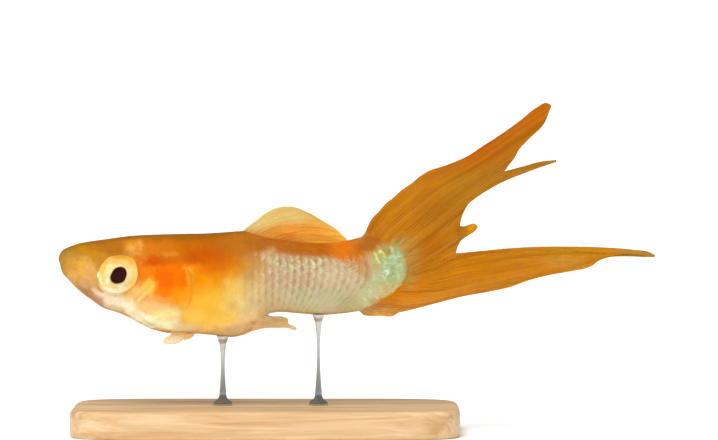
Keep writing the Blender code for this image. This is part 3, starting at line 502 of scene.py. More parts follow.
markings = (
    # the sides, front to back
    ("shoulderSide", 43, -3, 12, 9, 0, "#e08a14", 0.9, 0.8),
    ("goldenSide", 48, -10, 6, 8, 0, "#fcc538", 0.9, 0.8),
    ("goldUpper", 48.5, -6.4, 4.4, 2.8, 0, "#f6ae30", 0.8),
    ("sandySide", 53, -9, 5, 6, 0, "#f8cb66", 0.9),
    ("creamSide", 53, -15.5, 6, 3.4, 10, "#ffe894", 0.85),
    ("flankFront", 60, -6, 4.6, 8, 0, "#d09e5c", 0.9),
    ("flank", 74, -5.5, 17, 6, 0, "#ccab86", 0.95, 0.7),
    ("flankLow", 78, -12.8, 16, 4.4, 0, "#c9c39a", 0.95, 0.8),
    ("flankLowRear", 86, -13.2, 5, 2.6, 0, "#b8b07e", 0.8),
    ("flankLowFront", 62.5, -13, 5, 3.6, 0, "#d6be90", 0.8),
    ("flankPale", 80, -5.6, 4.5, 3.4, 0, "#dcc89c", 0.7),
    ("flankRear", 89, -3, 4.2, 4.6, 0, "#cc955a", 0.9),
    ("amberEnd", 57.4, -8.8, 3.4, 5, 0, "#deba76", 0.85),
    ("paleStalk", 86.2, -7.2, 1.7, 2.8, 0, "#dccba4", 0.8),
    ("paleStalkLow", 83.8, -9.4, 1.3, 1.8, 0, "#d0c29c", 0.7),
    ("flankEnd", 91.5, -9.5, 4, 5, 10, "#cecd9c", 0.9),
    ("mistEnd", 93.6, -6.3, 2.6, 2.2, 0, "#ccce9c", 0.85),
    ("brownEnd", 90, -4.2, 1.2, 2.4, 0, "#c8925e", 0.8),
    ("mintLow", 95.2, -6.6, 1.6, 3, 0, "#ccd4a6", 0.5),
    ("edgeOlive", 101.8, -5.2, 1.2, 4.6, 8, "#b79c58", 0.6),
    ("brownLow", 94.2, -12.2, 1.3, 0.9, 20, "#b8803c", 0.6),
    ("topGap", 95.4, 4.2, 1.8, 1, 20, "#b07c34", 0.6),
    ("mintTop", 99.2, 1.5, 1.8, 2.2, 20, "#a8c592", 0.6),
    ("mintFront", 92, -1.4, 1.4, 1.9, 0, "#cec68c", 0.8),
    ("tanEndLow", 92.2, -13.2, 1.6, 0.9, 10, "#b8a06e", 0.8),
    ("mintEnd", 97.4, -3.2, 4, 4.6, 14, "#b0c48c", 0.9, 0.8),
    ("sandEnd", 95.6, -9.6, 2.6, 2.6, 20, "#d0bc80", 0.8),
    ("oliveTop", 96, 1.9, 2.2, 1.1, 0, "#b09450", 0.8),
    ("yellowEnd", 93.6, 0, 1.9, 2.6, 20, "#bcb870", 0.8, 0.8),
    # the belly
    ("bellyWarm", 45, -20.2, 8, 1.6, 2, "#ffd57e", 0.95),
    ("lowSide", 47.5, -17, 7.5, 3, 0, "#ffcc56", 0.8, 1),
    ("lowSideRear", 56, -17, 3.6, 2.2, 0, "#efcf96", 0.85),
    ("bellyPink", 53, -20.4, 4.5, 1.2, 8, "#e9c89c", 0.9),
    ("bellyKeel", 50, -22.4, 9, 1.1, 0, "#dcbe80", 0.9),
    # the back
    ("backTop", 32, 6.3, 38, 2.7, 1, "#b06600", 0.95, 0.8),
    ("shoulderTop", 41, 2.6, 10, 3, 0, "#c66400", 0.95, 0.8),
    ("backTopMiddle", 42, 6.6, 10, 1.6, 1, "#a66000", 0.9),
    ("shoulderTopRear", 54, 3, 8, 3.6, 0, "#c5741c", 0.9, 0.8),
    ("backMist", 66, -0.3, 10, 1.5, -2, "#c2925e", 0.8),
    ("backBand", 68, 3.6, 13, 3, -2, "#b5631a", 0.95, 0.6),
    ("backBandRear", 77, 2.2, 8, 1.9, -1, "#ba6408", 0.95, 0.6),
    ("amberReach", 56.6, -2.6, 4.2, 3, 0, "#cc8a34", 0.6),
    ("flankGlow", 57, -12.4, 3.4, 4.2, 0, "#eed498", 0.5),
    ("flankGlowRear", 65, -9, 4, 3.2, 0, "#e0cfa4", 0.4),
    ("backFire", 84, 4.2, 4.2, 1.3, 5, "#e07a12", 0.65),
    ("mistFront", 61.4, 0.8, 1.9, 1.7, 0, "#d2b07a", 0.85),
    ("mistMiddle", 62.4, -1.2, 1.6, 1.2, 0, "#d2c294", 0.7),
    ("mistTop", 65.4, 0, 2, 1.2, 0, "#c8a888", 0.6),
    ("saddle", 84.8, 1.7, 5, 2.7, 0, "#e37910", 1, 0.6),
    ("saddleRear", 91, 4.6, 5, 2.6, 30, "#b5681c", 0.95, 0.8),
    # the snout and forehead
    ("snoutTop", 6.5, 3.4, 7.5, 2.2, 20, "#b07a04", 0.95, 0.8),
    ("forehead", 15.2, 2.8, 5.8, 3.4, 0, "#b56c14", 0.95, 0.8),
    ("snoutGold", 8.5, 2.2, 3.6, 1.5, 5, "#cd8908", 0.8),
    ("foreheadLow", 11.4, -0.2, 2.4, 1.9, 0, "#d28c18", 0.8),
    ("snoutTip", 1.4, -1.6, 3.9, 4.7, 0, "#a87c2f", 0.95, 0.8),
    ("snoutMiddle", 4.6, 0.2, 2.4, 1.8, 0, "#c08c34", 0.8),
    ("snoutSide", 6.2, -3.4, 4.4, 3, -20, "#f6b849", 0.95, 0.8),
    ("snoutRear", 9.6, -5.4, 2.8, 3.2, 0, "#f4b866", 0.85),
    ("lipSide", 5, -6.8, 3, 1.4, -48, "#e4ae60", 0.8),
    ("jaw", 8.4, -9.8, 4.4, 2, -46, "#ca8e4c", 0.95, 0.8),
    ("jawEdge", 9.5, -12.2, 6, 1, -42, "#a67b52", 0.8),
    ("jawRear", 12.6, -12.6, 3, 1.5, -40, "#b8906c", 0.85),
    ("jawSilver", 12.4, -11.2, 3.4, 0.8, -48, "#f0ccb6", 0.9),
    # the cheek and throat
    # painted shadow at the eye's front rim
    ("eyeFrontShadow", 12, -2.2, 0.6, 2, -30, "#c2841c", 0.7),
    ("crownDeep", 25.8, 2.4, 2.4, 3, 0, "#dc780e", 0.5),
    ("eyeRearDeep", 23, -0.4, 1.3, 1.7, 0, "#de7410", 0.75),
    ("cheekAmber", 20.3, -12, 1.7, 1, 20, "#ffc878", 0.6),
    ("throatPeach", 22.8, -16.2, 2.4, 1.1, -28, "#fddcb6", 0.7),
    ("throatGold", 31, -18, 2.2, 0.9, 0, "#f2dca4", 0.6),
    ("throatRim", 26.8, -20.2, 1.9, 0.8, -15, "#fff6e8", 0.6),
    ("flapRim", 35, -18.3, 1.3, 1, 0, "#fff0c8", 0.6),
    ("eyeShadeCorner", 20.2, -9.8, 1.2, 0.5, 25, "#eba458", 0.8),
    ("cheekPale", 17, -12.8, 3.6, 1.9, -25, "#f6e6c6", 0.95, 0.8),
    ("underEye", 14.8, -11.7, 2.6, 1, -28, "#ffe8c2", 0.85),
    ("cheekWarm", 22.8, -9.8, 3.4, 3, -20, "#ffc66c", 0.95),
    ("cheekCream", 20.6, -14, 3.8, 1.9, -35, "#fff4d2", 0.95, 0.8),
    ("behindEye", 25, -4.2, 3.2, 4.2, 0, "#f67e06", 0.95, 0.8),
    ("cheekOrange", 27.4, -4.6, 2.3, 2.4, 0, "#ff8e12", 0.85),
    ("gillRoot", 27, -13.2, 5, 1.9, -4, "#ffb468", 0.9),
    ("cheekLow", 26.6, -12.2, 2.6, 1.2, -4, "#ffae56", 0.8),
    ("gillFire", 33, -6.8, 6.2, 5.7, -8, "#ff8000", 1, 0.6),
    ("gillRed", 31.2, -6.6, 2.7, 3.3, 0, "#ff6e00", 0.85),
    ("gillOrange", 36, -11, 3.6, 2.7, 10, "#ff9a06", 0.9, 0.8),
    ("gillRedRear", 36.6, -6.2, 1.5, 2.8, 0, "#ff7000", 0.7),
    ("gillOrangeLow", 34.4, -12.8, 2.3, 2.3, 0, "#ff9e14", 0.9, 0.8),
    ("gillOrangeFront", 30, -9.9, 3, 1.2, 0, "#ff8600", 0.8),
    ("gillPeach", 28, -14.6, 5.8, 1.7, 0, "#ffd08c", 0.9, 0.8),
    ("gillPeachTop", 30.4, -12.2, 2.6, 0.8, 0, "#ffa84c", 0.8),
    ("gillPale", 32, -16.5, 5.2, 1.6, 2, "#ffee9e", 0.9, 0.8),
    ("throat", 23.6, -17, 4, 1.3, -28, "#ffffe2", 0.95, 0.8),
    ("breast", 29.5, -18.9, 6.4, 1.6, -12, "#ffffd8", 0.95, 0.8),
    ("breastGreen", 27.8, -19.9, 1.6, 0.7, -12, "#d4cc84", 0.8),
    ("breastLow", 31.5, -20.6, 3.2, 0.7, -4, "#feffd4", 0.8),
    ("breastRear", 37, -20.4, 3, 1.2, 0, "#ead49c", 0.9),
    ("throatGreen", 16.6, -14.8, 2.6, 0.8, -24, "#dccfa8", 0.8),
    # painted shade along the throat's lower edge
    ("throatEdgeShade", 22.5, -19.3, 9.5, 0.6, -26, "#c8b884", 0.6),
    ("operclePale", 26.9, -8.7, 1.9, 2.4, -30, "#ffcc4c", 0.85, 0.8),
    # the nape
    ("napeOrange", 29.5, 2.2, 5.4, 2.2, 0, "#da7406", 0.9),
    ("napePale", 32.3, 1.2, 2.2, 0.9, 0, "#ea8e26", 0.7),
    ("brow", 11, 3.5, 2.5, 1.5, 5, "#ac6a18", 0.55),
    ("crown", 21.7, 3.3, 2.8, 1.8, 0, "#e0922a", 0.85),
    ("crownRing", 24, 3.6, 0.7, 1.5, 12, "#f0a84a", 0.7),
    ("crownSpot", 21.2, 3.2, 1.4, 0.7, 0, "#f0aa4c", 0.8, 0.8),
    ("crownRear", 22.6, 1.4, 1.5, 0.5, -10, "#eea046", 0.7),
    ("redFront", 28.2, -1.2, 3.8, 1.6, -4, "#da5800", 0.95),
    ("redMiddle", 35, -1, 5.4, 1.3, 0, "#da6a02", 0.8),
    ("redRear", 42.2, -0.4, 5.6, 2.1, 0, "#cd5700", 0.95),
    ("amber", 46, -4, 4.6, 2.3, 0, "#f08200", 0.9),
    ("amberRear", 51, -3.4, 3.4, 2.6, 0, "#e48c10", 0.85),
    # behind the gill cover
    ("amberTop", 49.5, -1.3, 3.6, 1.6, 0, "#d87a14", 0.8),
    ("gillTopOrange", 37, -2.4, 2, 1.3, 0, "#ff8600", 0.9, 0.8),
    ("shoulderDeep", 46.5, -1.3, 4.6, 2.1, -5, "#d86400", 0.65),
    ("amberSpot", 51, -14, 1.8, 1.2, 0, "#e6ae50", 0.6),
    ("shoulderFire", 42, -4.4, 3.4, 2, 0, "#fa8400", 0.95),
    ("amberLow", 45.2, -7.4, 2.8, 2.6, 0, "#f39a10", 0.8),
    ("shoulderGold", 42, -8, 3.8, 2.9, 0, "#ffa200", 1, 0.8),
    ("shoulderYellow", 42.4, -13.6, 4.4, 4.6, 0, "#ffcb44", 1, 0.8),
    ("gillEnd", 37.2, -14.4, 1.9, 1.6, 0, "#ffbe48", 0.9, 0.8),
    ("lobe", 39.8, -17, 3.3, 2.3, 10, "#ffd058", 0.95, 0.6),
    ("shoulderRim", 39.2, -5.6, 1.3, 2.4, 0, "#ffa206", 0.7),
    ("throatPeachLow", 22.6, -16.2, 2.3, 1.1, -28, "#fbd8ae", 0.6),
    ("snoutShade", 3.2, -2.6, 2.3, 2.1, 0, "#be8430", 0.5),
    ("cheekPeach", 20.2, -12.1, 1.5, 1, 20, "#ffc072", 0.55),
    ("throatGoldLow", 31, -18.1, 2.5, 1, 0, "#efd68e", 0.6),
    ("throatRimLow", 27.6, -20.3, 1.8, 0.8, -15, "#fff4e4", 0.6),
    ("chinPale", 7.6, -8, 1.6, 1.1, -40, "#e6bc90", 0.45),
    ("gillLight", 38.3, -5.3, 1.2, 2.6, 5, "#ffb030", 0.6),
    ("shoulderRed", 44.6, -2.8, 2.8, 2, 0, "#de6c00", 0.5),
    ("shoulderTopDeep", 48.6, 0.8, 4.2, 2, 0, "#c85800", 0.4),
    ("backBrown", 48, 4.2, 6, 1.4, 4, "#b06008", 0.4),
    ("finShadeGold", 41.4, -8.4, 2.6, 3.2, 20, "#ffa200", 0.4),
    ("flankTan", 60.6, -6.3, 1.6, 1.4, 0, "#c49864", 0.5),
    ("flankAmber", 56.4, -6.9, 1.5, 1.8, 0, "#d8a648", 0.5),
    ("gillLowOrange", 37.4, -11.2, 1.8, 2, 0, "#ffa41c", 0.6),
    ("amberMiddle", 50.2, -6.2, 1.8, 1.6, 0, "#f6a824", 0.5),
    ("cheekOrangeLow", 27, -12.1, 2, 0.8, 0, "#ffb060", 0.5),
    ("gillTopDeep", 34.2, -2.2, 1.6, 1, 0, "#e46a04", 0.5),
    ("fireRear", 83, 4.2, 2.6, 1.2, 8, "#dc6c00", 0.6),
)


# The tail's own marks, and the line where the body's colours end on it, as (z, x)

tailMarks = (
    ("upperOuter", 128, 31, 15, 6, 38, "#c06a02", 0.9),
    ("redUpperEdge", 125, 34.6, 17, 2.2, 34, "#d06000", 0.8),
    ("tipRed", 140, 42.5, 6, 3.4, 38, "#ca6600", 0.75),
    ("oliveHeart", 119, 20, 8, 5, 42, "#b67f12", 0.8),
    ("thread", 140, 27, 9, 2.2, 14, "#ab7420", 0.85),
    ("brightLobe", 120.4, 8.1, 2.6, 1.4, 28, "#f8a408", 0.95, 0.5),
    ("lobeRoot", 117.8, 6.8, 1.6, 3.4, 20, "#a8620c", 0.6),
    ("middle", 108, 3, 6, 3.4, 30, "#c06c06", 0.7),
    ("paleBase", 103, -2, 2.8, 6.4, 0, "#bf9242", 0.9),
    ("lowerSword", 136, -2, 30, 6, 5, "#d88408", 0.9),
    ("oliveSword", 152, 0.8, 12, 2.2, -3, "#c88a14", 0.7),
    ("swordGold", 131, 0, 7, 2, 6, "#cf8418", 0.6),
    ("swordTip", 170, 1, 7, 1.8, -8, "#b08a34", 0.9, 0.8),
    ("redBase", 102, -11.5, 7, 3.6, 10, "#e48810", 0.85),
    ("strandOlive", 99.6, 3.9, 3.4, 2.2, 35, "#b49a48", 0.8),
    # painted light: a lighter band along the tail's lower edge, where it turns down from the light
    ("litUnderEdge", 106, -13.7, 9, 1.2, 15, "#ea9a3c", 0.6, 0.8),
    ("mintTop", 99.2, 1.5, 1.8, 2.2, 20, "#a8c592", 0.6),
    ("edgeOlive", 101.8, -5.2, 1.2, 4.6, 8, "#b79c58", 0.6),
    ("lowEdge", 96.5, -13.4, 3.4, 1.6, 20, "#cf7414", 0.8),
    ("tanLow", 91.4, -14.5, 3.6, 1.2, 6, "#b88c58", 0.85),
    ("shortRay", 95, -16.3, 5, 1.2, -4, "#f6bc66", 0.9, 0.8),
    ("shortRayRoot", 90.2, -16, 2, 1.2, 0, "#b8905e", 0.8),
    ("topRoot", 92, 7, 4, 3, 50, "#c4751a", 0.8),
    ("oliveUnder", 128, 24, 6, 3, 35, "#aa7616", 0.7),
    ("brownRoot", 110, 14, 5, 6.5, 40, "#b06c0e", 0.6),
    ("lobeBrown", 115.2, 2.6, 1.8, 2, 20, "#ac6e1c", 0.6),
    ("redRun", 127, 32.4, 10, 2, 37, "#c46000", 0.6),
    ("swordPale", 148, -1.6, 6, 1.9, -8, "#d49a3c", 0.7),
    # painted light: the next three lighten the sword's lower rim, the underside of the sword and the lower
    # root, where they turn down from the light
    ("litLowerRim", 130, -7.4, 22, 1, 16, "#e0922c", 0.5),
    ("litUnderSword", 113, -11.2, 13, 2, 13, "#ee9c34", 0.5),
    ("litUnderRoot", 99, -14.6, 4.5, 1, 6, "#e0944c", 0.5),
    ("outerShade", 112, 25.2, 6, 1.2, 22, "#b46604", 0.6),
    ("redTop", 124, 32, 5, 1.2, 34, "#cc5c00", 0.6),
)

tailEdge = ((-17.0, 86.0), (-15.0, 89.2), (-13.7, 91.8), (-12.3, 93.9), (-11.5, 95.6), (-10.0, 97.9),
            (-9.0, 98.6), (-8.0, 99.8), (-6.5, 101.0), (-4.0, 101.3), (-1.0, 101.2), (0.5, 100.7),
            (1.5, 99.6), (2.5, 98.4), (3.5, 97.2), (5.0, 95.0), (7.0, 90.0), (9.0, 86.0))


def laidOver(base, x, z, patches):   # each patch mixed over the colours below it
    colour = np.broadcast_to(linear(base), x.shape + (3,)).copy()
    for _, cx, cz, rx, rz, turn, code, strength, *soft in patches:
        u, v = turnedBy(x - cx, z - cz, -turn)
        edge = 0.7 * (soft[0] if soft else 0.9)
        share = strength * (1 - ramp(np.hypot(u / rx, v / rz), 1 - edge, 1 + edge))
        colour += share[..., None] * (linear(code) - colour)
    return colour


def mixed(colour, code, share):   # one colour mixed in by a share for each point
    return colour + np.asarray(share)[..., None] * (linear(code) - colour)


def joined(x, z, inward=0):
    # The body's markings and the tail's, met along the ray roots as both pieces show them; inward
    # moves the noise with the way in from the body's widest line, so that it has no streaks there
    u, v = x + inward, z + 0.6 * inward
    px = stirred(x, u, v, ((0.5, 2.6, 3), (0.28, 0.9, 4), (0.12, 0.4, 9)))
    pz = stirred(z, u, v, ((0.5, 2.4, 5), (0.28, 0.8, 10), (0.12, 0.4, 12)))
    # at its end the body's markings run out in spikes along the tail's rays
    spike = noiseField(30 * np.arctan2(z + 3.5, x - 84), 0.12 * x, 1.0, 17)
    px = px + 1.5 * spike * ramp(x, 96, 100)
    share = ramp(x + 0.3 * (px - x) - smooth(tailEdge, z), -0.5, 0.5) * ramp(x, 84, 90)
    colour = np.zeros(x.shape + (3,))
    body, tail = share < 1, share > 0
    colour[body] = laidOver("#d8a04a", px[body], pz[body], markings)
    colour[tail] += share[tail, None] * (laidOver("#cc7e12", px[tail], pz[tail], tailMarks) - colour[tail])
    px, pz = stirred(x, x, z, ((0.2, 0.7, 14),)), stirred(z, x, z, ((0.2, 0.7, 15),))
    return brushed(colour, px, pz, strokes)


# Brush strokes, most of bright guanine: a line of points, its half width, colour and strength

strokes = (
    ("gillHook", ((36.3, -3.0), (38.4, -3.4), (38.8, -4.4)), 0.42, "#ffb840", 0.9),
    ("gillHookLow", ((38.0, -5.2), (38.5, -6.6), (38.8, -8.2)), 0.4, "#ffb032", 0.6),
    ("opercleLine", ((27.8, -8.2), (25.6, -10.4), (24.4, -11.6)), 0.55, "#ffe076", 0.75),
    ("opercleTip", ((24.6, -11.4), (23.2, -12.7)), 0.36, "#fffab4", 0.9),
    ("opercleFront", ((26.0, -8.0), (23.6, -9.6), (22.4, -11.2)), 0.4, "#ffdc86", 0.4),
    ("cheekLine", ((21.4, -12.2), (21.1, -14.0), (21.6, -15.6)), 0.5, "#fffccc", 0.75),
    ("jawPale", ((9.6, -9.2), (10.8, -9.9), (13.0, -11.0), (15.4, -11.7)), 0.5, "#fbe2cc", 0.5),
    ("jawGrey", ((10.8, -11.2), (12.2, -12.2), (13.0, -13.2)), 0.7, "#cdaa92", 0.45),
    ("jawWhite", ((13.6, -12.6), (15.6, -13.2), (17.4, -13.6)), 0.6, "#fdf2e6", 0.5),
    ("breastLine", ((26.4, -18.2), (28.6, -19.4), (31.2, -20.2)), 0.5, "#f4ffc8", 0.7),
    ("breastShade", ((24.4, -17.8), (26.4, -19.4), (28.6, -20.4)), 0.4, "#c8c47c", 0.5),
    ("behindEyeSpark", ((23.6, -1.4), (24.2, -1.7)), 0.32, "#fca468", 0.7),
    ("behindEyeStreak", ((24.6, -3.4), (25.6, -4.6)), 0.3, "#ffa648", 0.35),
    ("bellySpark", ((52.4, -17.9), (54.2, -17.2)), 0.6, "#ffe09a", 0.7),
    ("ventLine", ((45.0, -20.6), (50.0, -20.8), (54.6, -20.2), (57.4, -19.2)), 0.7, "#d2a66e", 0.5),
    ("ventSpot", ((56.2, -18.9), (57.6, -19.3)), 0.6, "#b67e4c", 0.7),
    ("ventPale", ((58.2, -17.8), (59.8, -18.6)), 0.6, "#edc492", 0.7),
    ("strandOne", ((97.3, 3.2), (97.5, 4.6), (98.8, 5.9)), 0.34, "#ccb87c", 0.6),
    ("strandTwo", ((98.4, 2.8), (100.2, 4.2), (101.2, 5.8)), 0.32, "#d0b46a", 0.65),
    ("strandThree", ((99.0, 1.5), (100.9, 2.5), (102.6, 4.2)), 0.3, "#ccb464", 0.6),
    ("fringeRight", ((100.9, -0.5), (101.6, -1.9), (101.3, -4.2)), 0.36, "#c4ac5c", 0.7),
    ("fringeLow", ((100.9, -4.8), (100.6, -6.6)), 0.4, "#b9bc7c", 0.7),
    ("darkMiddle", ((96.4, -2.9), (97.6, -2.6), (97.9, -3.8), (98.3, -5.0)), 0.5, "#9aac78", 0.7),
    ("darkLow", ((96.7, -4.6), (97.4, -5.8)), 0.5, "#a2a872", 0.65),
    ("yellowFall", ((92.4, 1.6), (92.6, 0.6), (93.2, -0.4), (94.0, -1.9)), 0.34, "#e4f0a4", 0.85),
    ("yellowHook", ((93.7, 1.3), (94.3, 1.9), (95.2, 1.1), (95.4, -0.1)), 0.36, "#e8ee7e", 0.9),
    ("yellowSpark", ((93.9, 1.7), (94.5, 1.8)), 0.24, "#fffb96", 0.95),
    ("mintTop", ((97.1, 3.4), (97.6, 2.2), (97.7, 1.2)), 0.42, "#c6e8c2", 0.85),
    ("mintMiddle", ((96.5, -0.4), (97.5, 0.3), (98.5, 0.1), (98.3, -1.3)), 0.46, "#c4eac8", 0.85),
    ("mintLeft", ((94.9, -0.6), (95.7, -1.4), (95.2, -3.0)), 0.46, "#caf0b2", 0.85),
    ("rightTop", ((98.9, 0.9), (99.4, 0.3), (100.6, 0.4)), 0.36, "#bee0b8", 0.75),
    ("mintRight", ((98.6, -2.9), (99.5, -2.3), (100.7, -1.9)), 0.44, "#c8e8b8", 0.85),
    ("greyLine", ((98.7, -1.7), (99.5, -1.4), (100.7, -0.9)), 0.22, "#8c9c74", 0.75),
    ("whiteClot", ((95.3, -4.0), (96.3, -4.1), (96.1, -5.3)), 0.46, "#e2ffe6", 0.95),
    ("paleFall", ((94.7, -4.6), (95.0, -5.9), (95.7, -6.7)), 0.34, "#dcf0be", 0.8),
    ("greenRight", ((98.9, -4.3), (99.5, -5.6), (99.3, -7.1)), 0.46, "#c2dea0", 0.8),
    ("sandRight", ((99.0, -7.8), (98.3, -9.0), (97.7, -10.1)), 0.42, "#dad294", 0.8),
    ("sandLow", ((96.0, -9.2), (95.3, -11.2)), 0.5, "#d8bc74", 0.7),
    ("paleLow", ((94.1, -8.4), (94.4, -10.2)), 0.46, "#dcd8ac", 0.75),
    ("paleLeft", ((90.5, -9.2), (91.5, -10.3)), 0.36, "#e0e4c4", 0.8),
    ("paleLeftLow", ((89.4, -11.8), (89.9, -12.6)), 0.34, "#e4ecb8", 0.8),
    ("paleEnd", ((92.6, -11.2), (93.4, -12.3)), 0.34, "#e0d8b0", 0.75),
    ("roseLeft", ((91.4, -3.4), (92.6, -1.6)), 0.5, "#cfb284", 0.6),
)


def brushed(colour, x, z, lines):   # each stroke mixed in by the distance from its line
    colour = colour.copy()
    for _, line, half, code, strength in lines:
        line = np.array(line)
        low, high = line.min(axis=0) - 2 * half, line.max(axis=0) + 2 * half
        near = (x > low[0]) & (x < high[0]) & (z > low[1]) & (z < high[1])
        spot = np.stack([x[near], z[near]], axis=1)
        away, along = np.full(len(spot), 9.0), np.zeros(len(spot))
        for k, (start, run) in enumerate(zip(line, np.diff(line, axis=0))):
            t = np.clip((spot - start) @ run / (run @ run), 0, 1)
            here = np.hypot(*(spot - start - t[:, None] * run).T)
            away, along = np.minimum(away, here), np.where(here < away, (k + t) / (len(line) - 1), along)
        thin = 1 - 0.45 * (2 * along - 1) ** 4   # strokes run out at both ends
        share = strength * thin * (1 - ramp(away, 0.2 * half * thin, 1.6 * half * thin))
        share = share * (0.85 + 0.35 * noiseField(*spot.T, 0.4, 21)).clip(0, 1)
        target = np.append(linear(code), 1.0)[:colour.shape[-1]]
        colour[near] += share[:, None] * (target - colour[near])
    return colour


# How the photo sees the fish: the point (x, z) that its camera faces, how much larger a thing looks
# for each hundredth of the body that it is nearer, and the slope that it looks down at
photoView = {"faces": (88, 11), "larger": 0.00069, "slope": 0.035}


def seen(x, y, z):
    # Where a point of the side looks to be in the middle plane: markings are given like that,
    # alike on both sides
    (faceX, faceZ), out = photoView["faces"], np.abs(y)
    larger = photoView["larger"] * out
    return x - larger * (faceX - x), z - photoView["slope"] * out - larger * (faceZ - z)


def bodyPaint(x, y, z):
    # The patches, then what follows the form: painted shade behind the gill's edge, painted shadow and
    # painted light round the eye's rim, painted shade in the mouth's seam and the nostril, the back's
    # darker crest, and painted shade along the belly's lower edge
    inward = (form("halfWidth", x) - np.abs(y)) * (1 - ramp(x, 60, 80))
    inward = np.maximum(inward - 1.2, 0)
    colour = joined(*seen(x, y, z), inward)
    gill = x - form("gillEdge", z)
    # painted shade: darker orange in the groove just behind the gill cover's edge
    colour = mixed(colour, "#d87404", 0.3 * bell(gill, 0.3, 0.4) * span(-z, 1, 5, 12, 15))
    away = eyeShare(x, z)
    fromX, fromZ = x - bodyForm["eye"][0], z - bodyForm["eye"][1]
    low, front = ramp(fromX, 0.5, 4.0) * ramp(-fromZ, 0, 3), ramp(-fromZ, 1, 4) * (1 - ramp(fromX, -1, 3))
    # painted shadow: a brown ring round the eye's rim, faint all round and strongest at its lower rear,
    # where the standing eye shades the skin
    colour = mixed(colour, "#d88a3c", (0.06 + 0.4 * low) * (1 - front) * bell(away, 1.07, 0.06))
    # painted light: pale cream on the rim below and in front of the eye, against the shade of the crease
    # there
    colour = mixed(colour, "#fff6d6", 0.75 * front * bell(away, 1.04, 0.05))
    # painted shade: darker in the mouth's seam near the tip, and in the nostril's pit
    colour = mixed(colour, "#7c5018", 0.22 * bell(z - mouthLine(x), 0, 0.2) * (1 - ramp(x, 2.0, 3.6)))
    colour = mixed(colour, "#9a6a18", 0.2 * bell(nostrilAway(x, z), 0, 0.5))
    crest = (1 - ramp(form("back", x) - z, 0.1, 1.3)) * (1 - span(x, 53, 57, 83, 87))
    colour = mixed(colour, "#9a5c0c", 0.5 * crest)
    up = z - form("belly", x)
    # painted shade: darker along the belly's lower edge, where the body turns down from the light, weaker
    # towards the snout and none by the anal fin's root
    keelShade = (1 - ramp(up, 0.1, 1.1)) * (0.3 + 0.25 * ramp(x, 28, 33)) * (1 - span(x, 52, 55, 61.5, 63))
    colour = mixed(colour, "#a98350", keelShade)
    # fish are lighter in colour below; the underside is painted lighter still, as painted light in place of
    # light from below, and the second term is painted light where the light catches the side over the belly
    paleAndLitBelow = 1 + 0.26 * (1 - ramp(up, 2.0, 8.0))
    paleAndLitBelow += 0.15 * span(up, 1.5, 5.0, 9.0, 17.0) * span(x, 14, 24, 58, 66)
    mottle = stirred(1, x + inward, z + 0.6 * inward, ((0.05, 0.6, 6), (0.03, 3.5, 7)))
    return colour * (paleAndLitBelow * mottle)[..., None]


def tailFlecks(x, z):
    # The colour and strength of the bright strands where the body runs out into the tail, and of
    # fainter ones along the flank
    drift = noiseField(x, z, 1.4, 8)
    colour = laidOver("#c6dca4", x, z, (
        ("yellow", 93.6, 0.8, 2.2, 2.4, 0, "#ecec84", 0.95),
        ("mint", 98.5, -1, 3, 3.4, 0, "#b4e4c0", 0.9),
        ("white", 96.2, -4.4, 2, 1.8, 0, "#dcffdc", 0.9),
        ("low", 93.5, -9.5, 4, 3, 0, "#dbe0ae", 0.8),
        ("fringe", 103, 4.4, 3.6, 2, 0, "#b8bc6c", 0.9),
    ))
    root = smooth(tailEdge, z)
    forward = 3.4 * ramp(-z, 3.0, 8.0)   # low down the strands start further forward
    strength = ramp(x - root + forward, -10.5, -6.0) * (1 - ramp(x - root, -0.6, 0.6 + 0.8 * drift))
    strength = 0.5 * strength * span(z, -15.0, -11.0, 1.5, 4.5 + drift) * ramp(x + forward, 89.5, 93.0)
    flank = 0.35 * span(x, 57, 64, 85, 91) * bell(z, -2.6, 2.6)
    colour = mixed(colour, "#e4f0d0", ramp(flank - strength, 0.0, 0.2))
    return np.concatenate([colour, np.maximum(0.9 * strength, flank)[..., None]], axis=-1)


# Moist skin over silvery tissue: a soft gloss, and a little light let through
skinMaterial = paintedMaterial(
    "moistFishSkin",
    {"IOR": 1.4, "Specular IOR Level": 0.06, "Subsurface Weight": 0.1, "Subsurface Scale": 0.0004},
    noiseMm=0.2, tint=0.06, bumpMm=0.01, roughness=(0.34, 0.52), flecks="everyWay",
)[0]


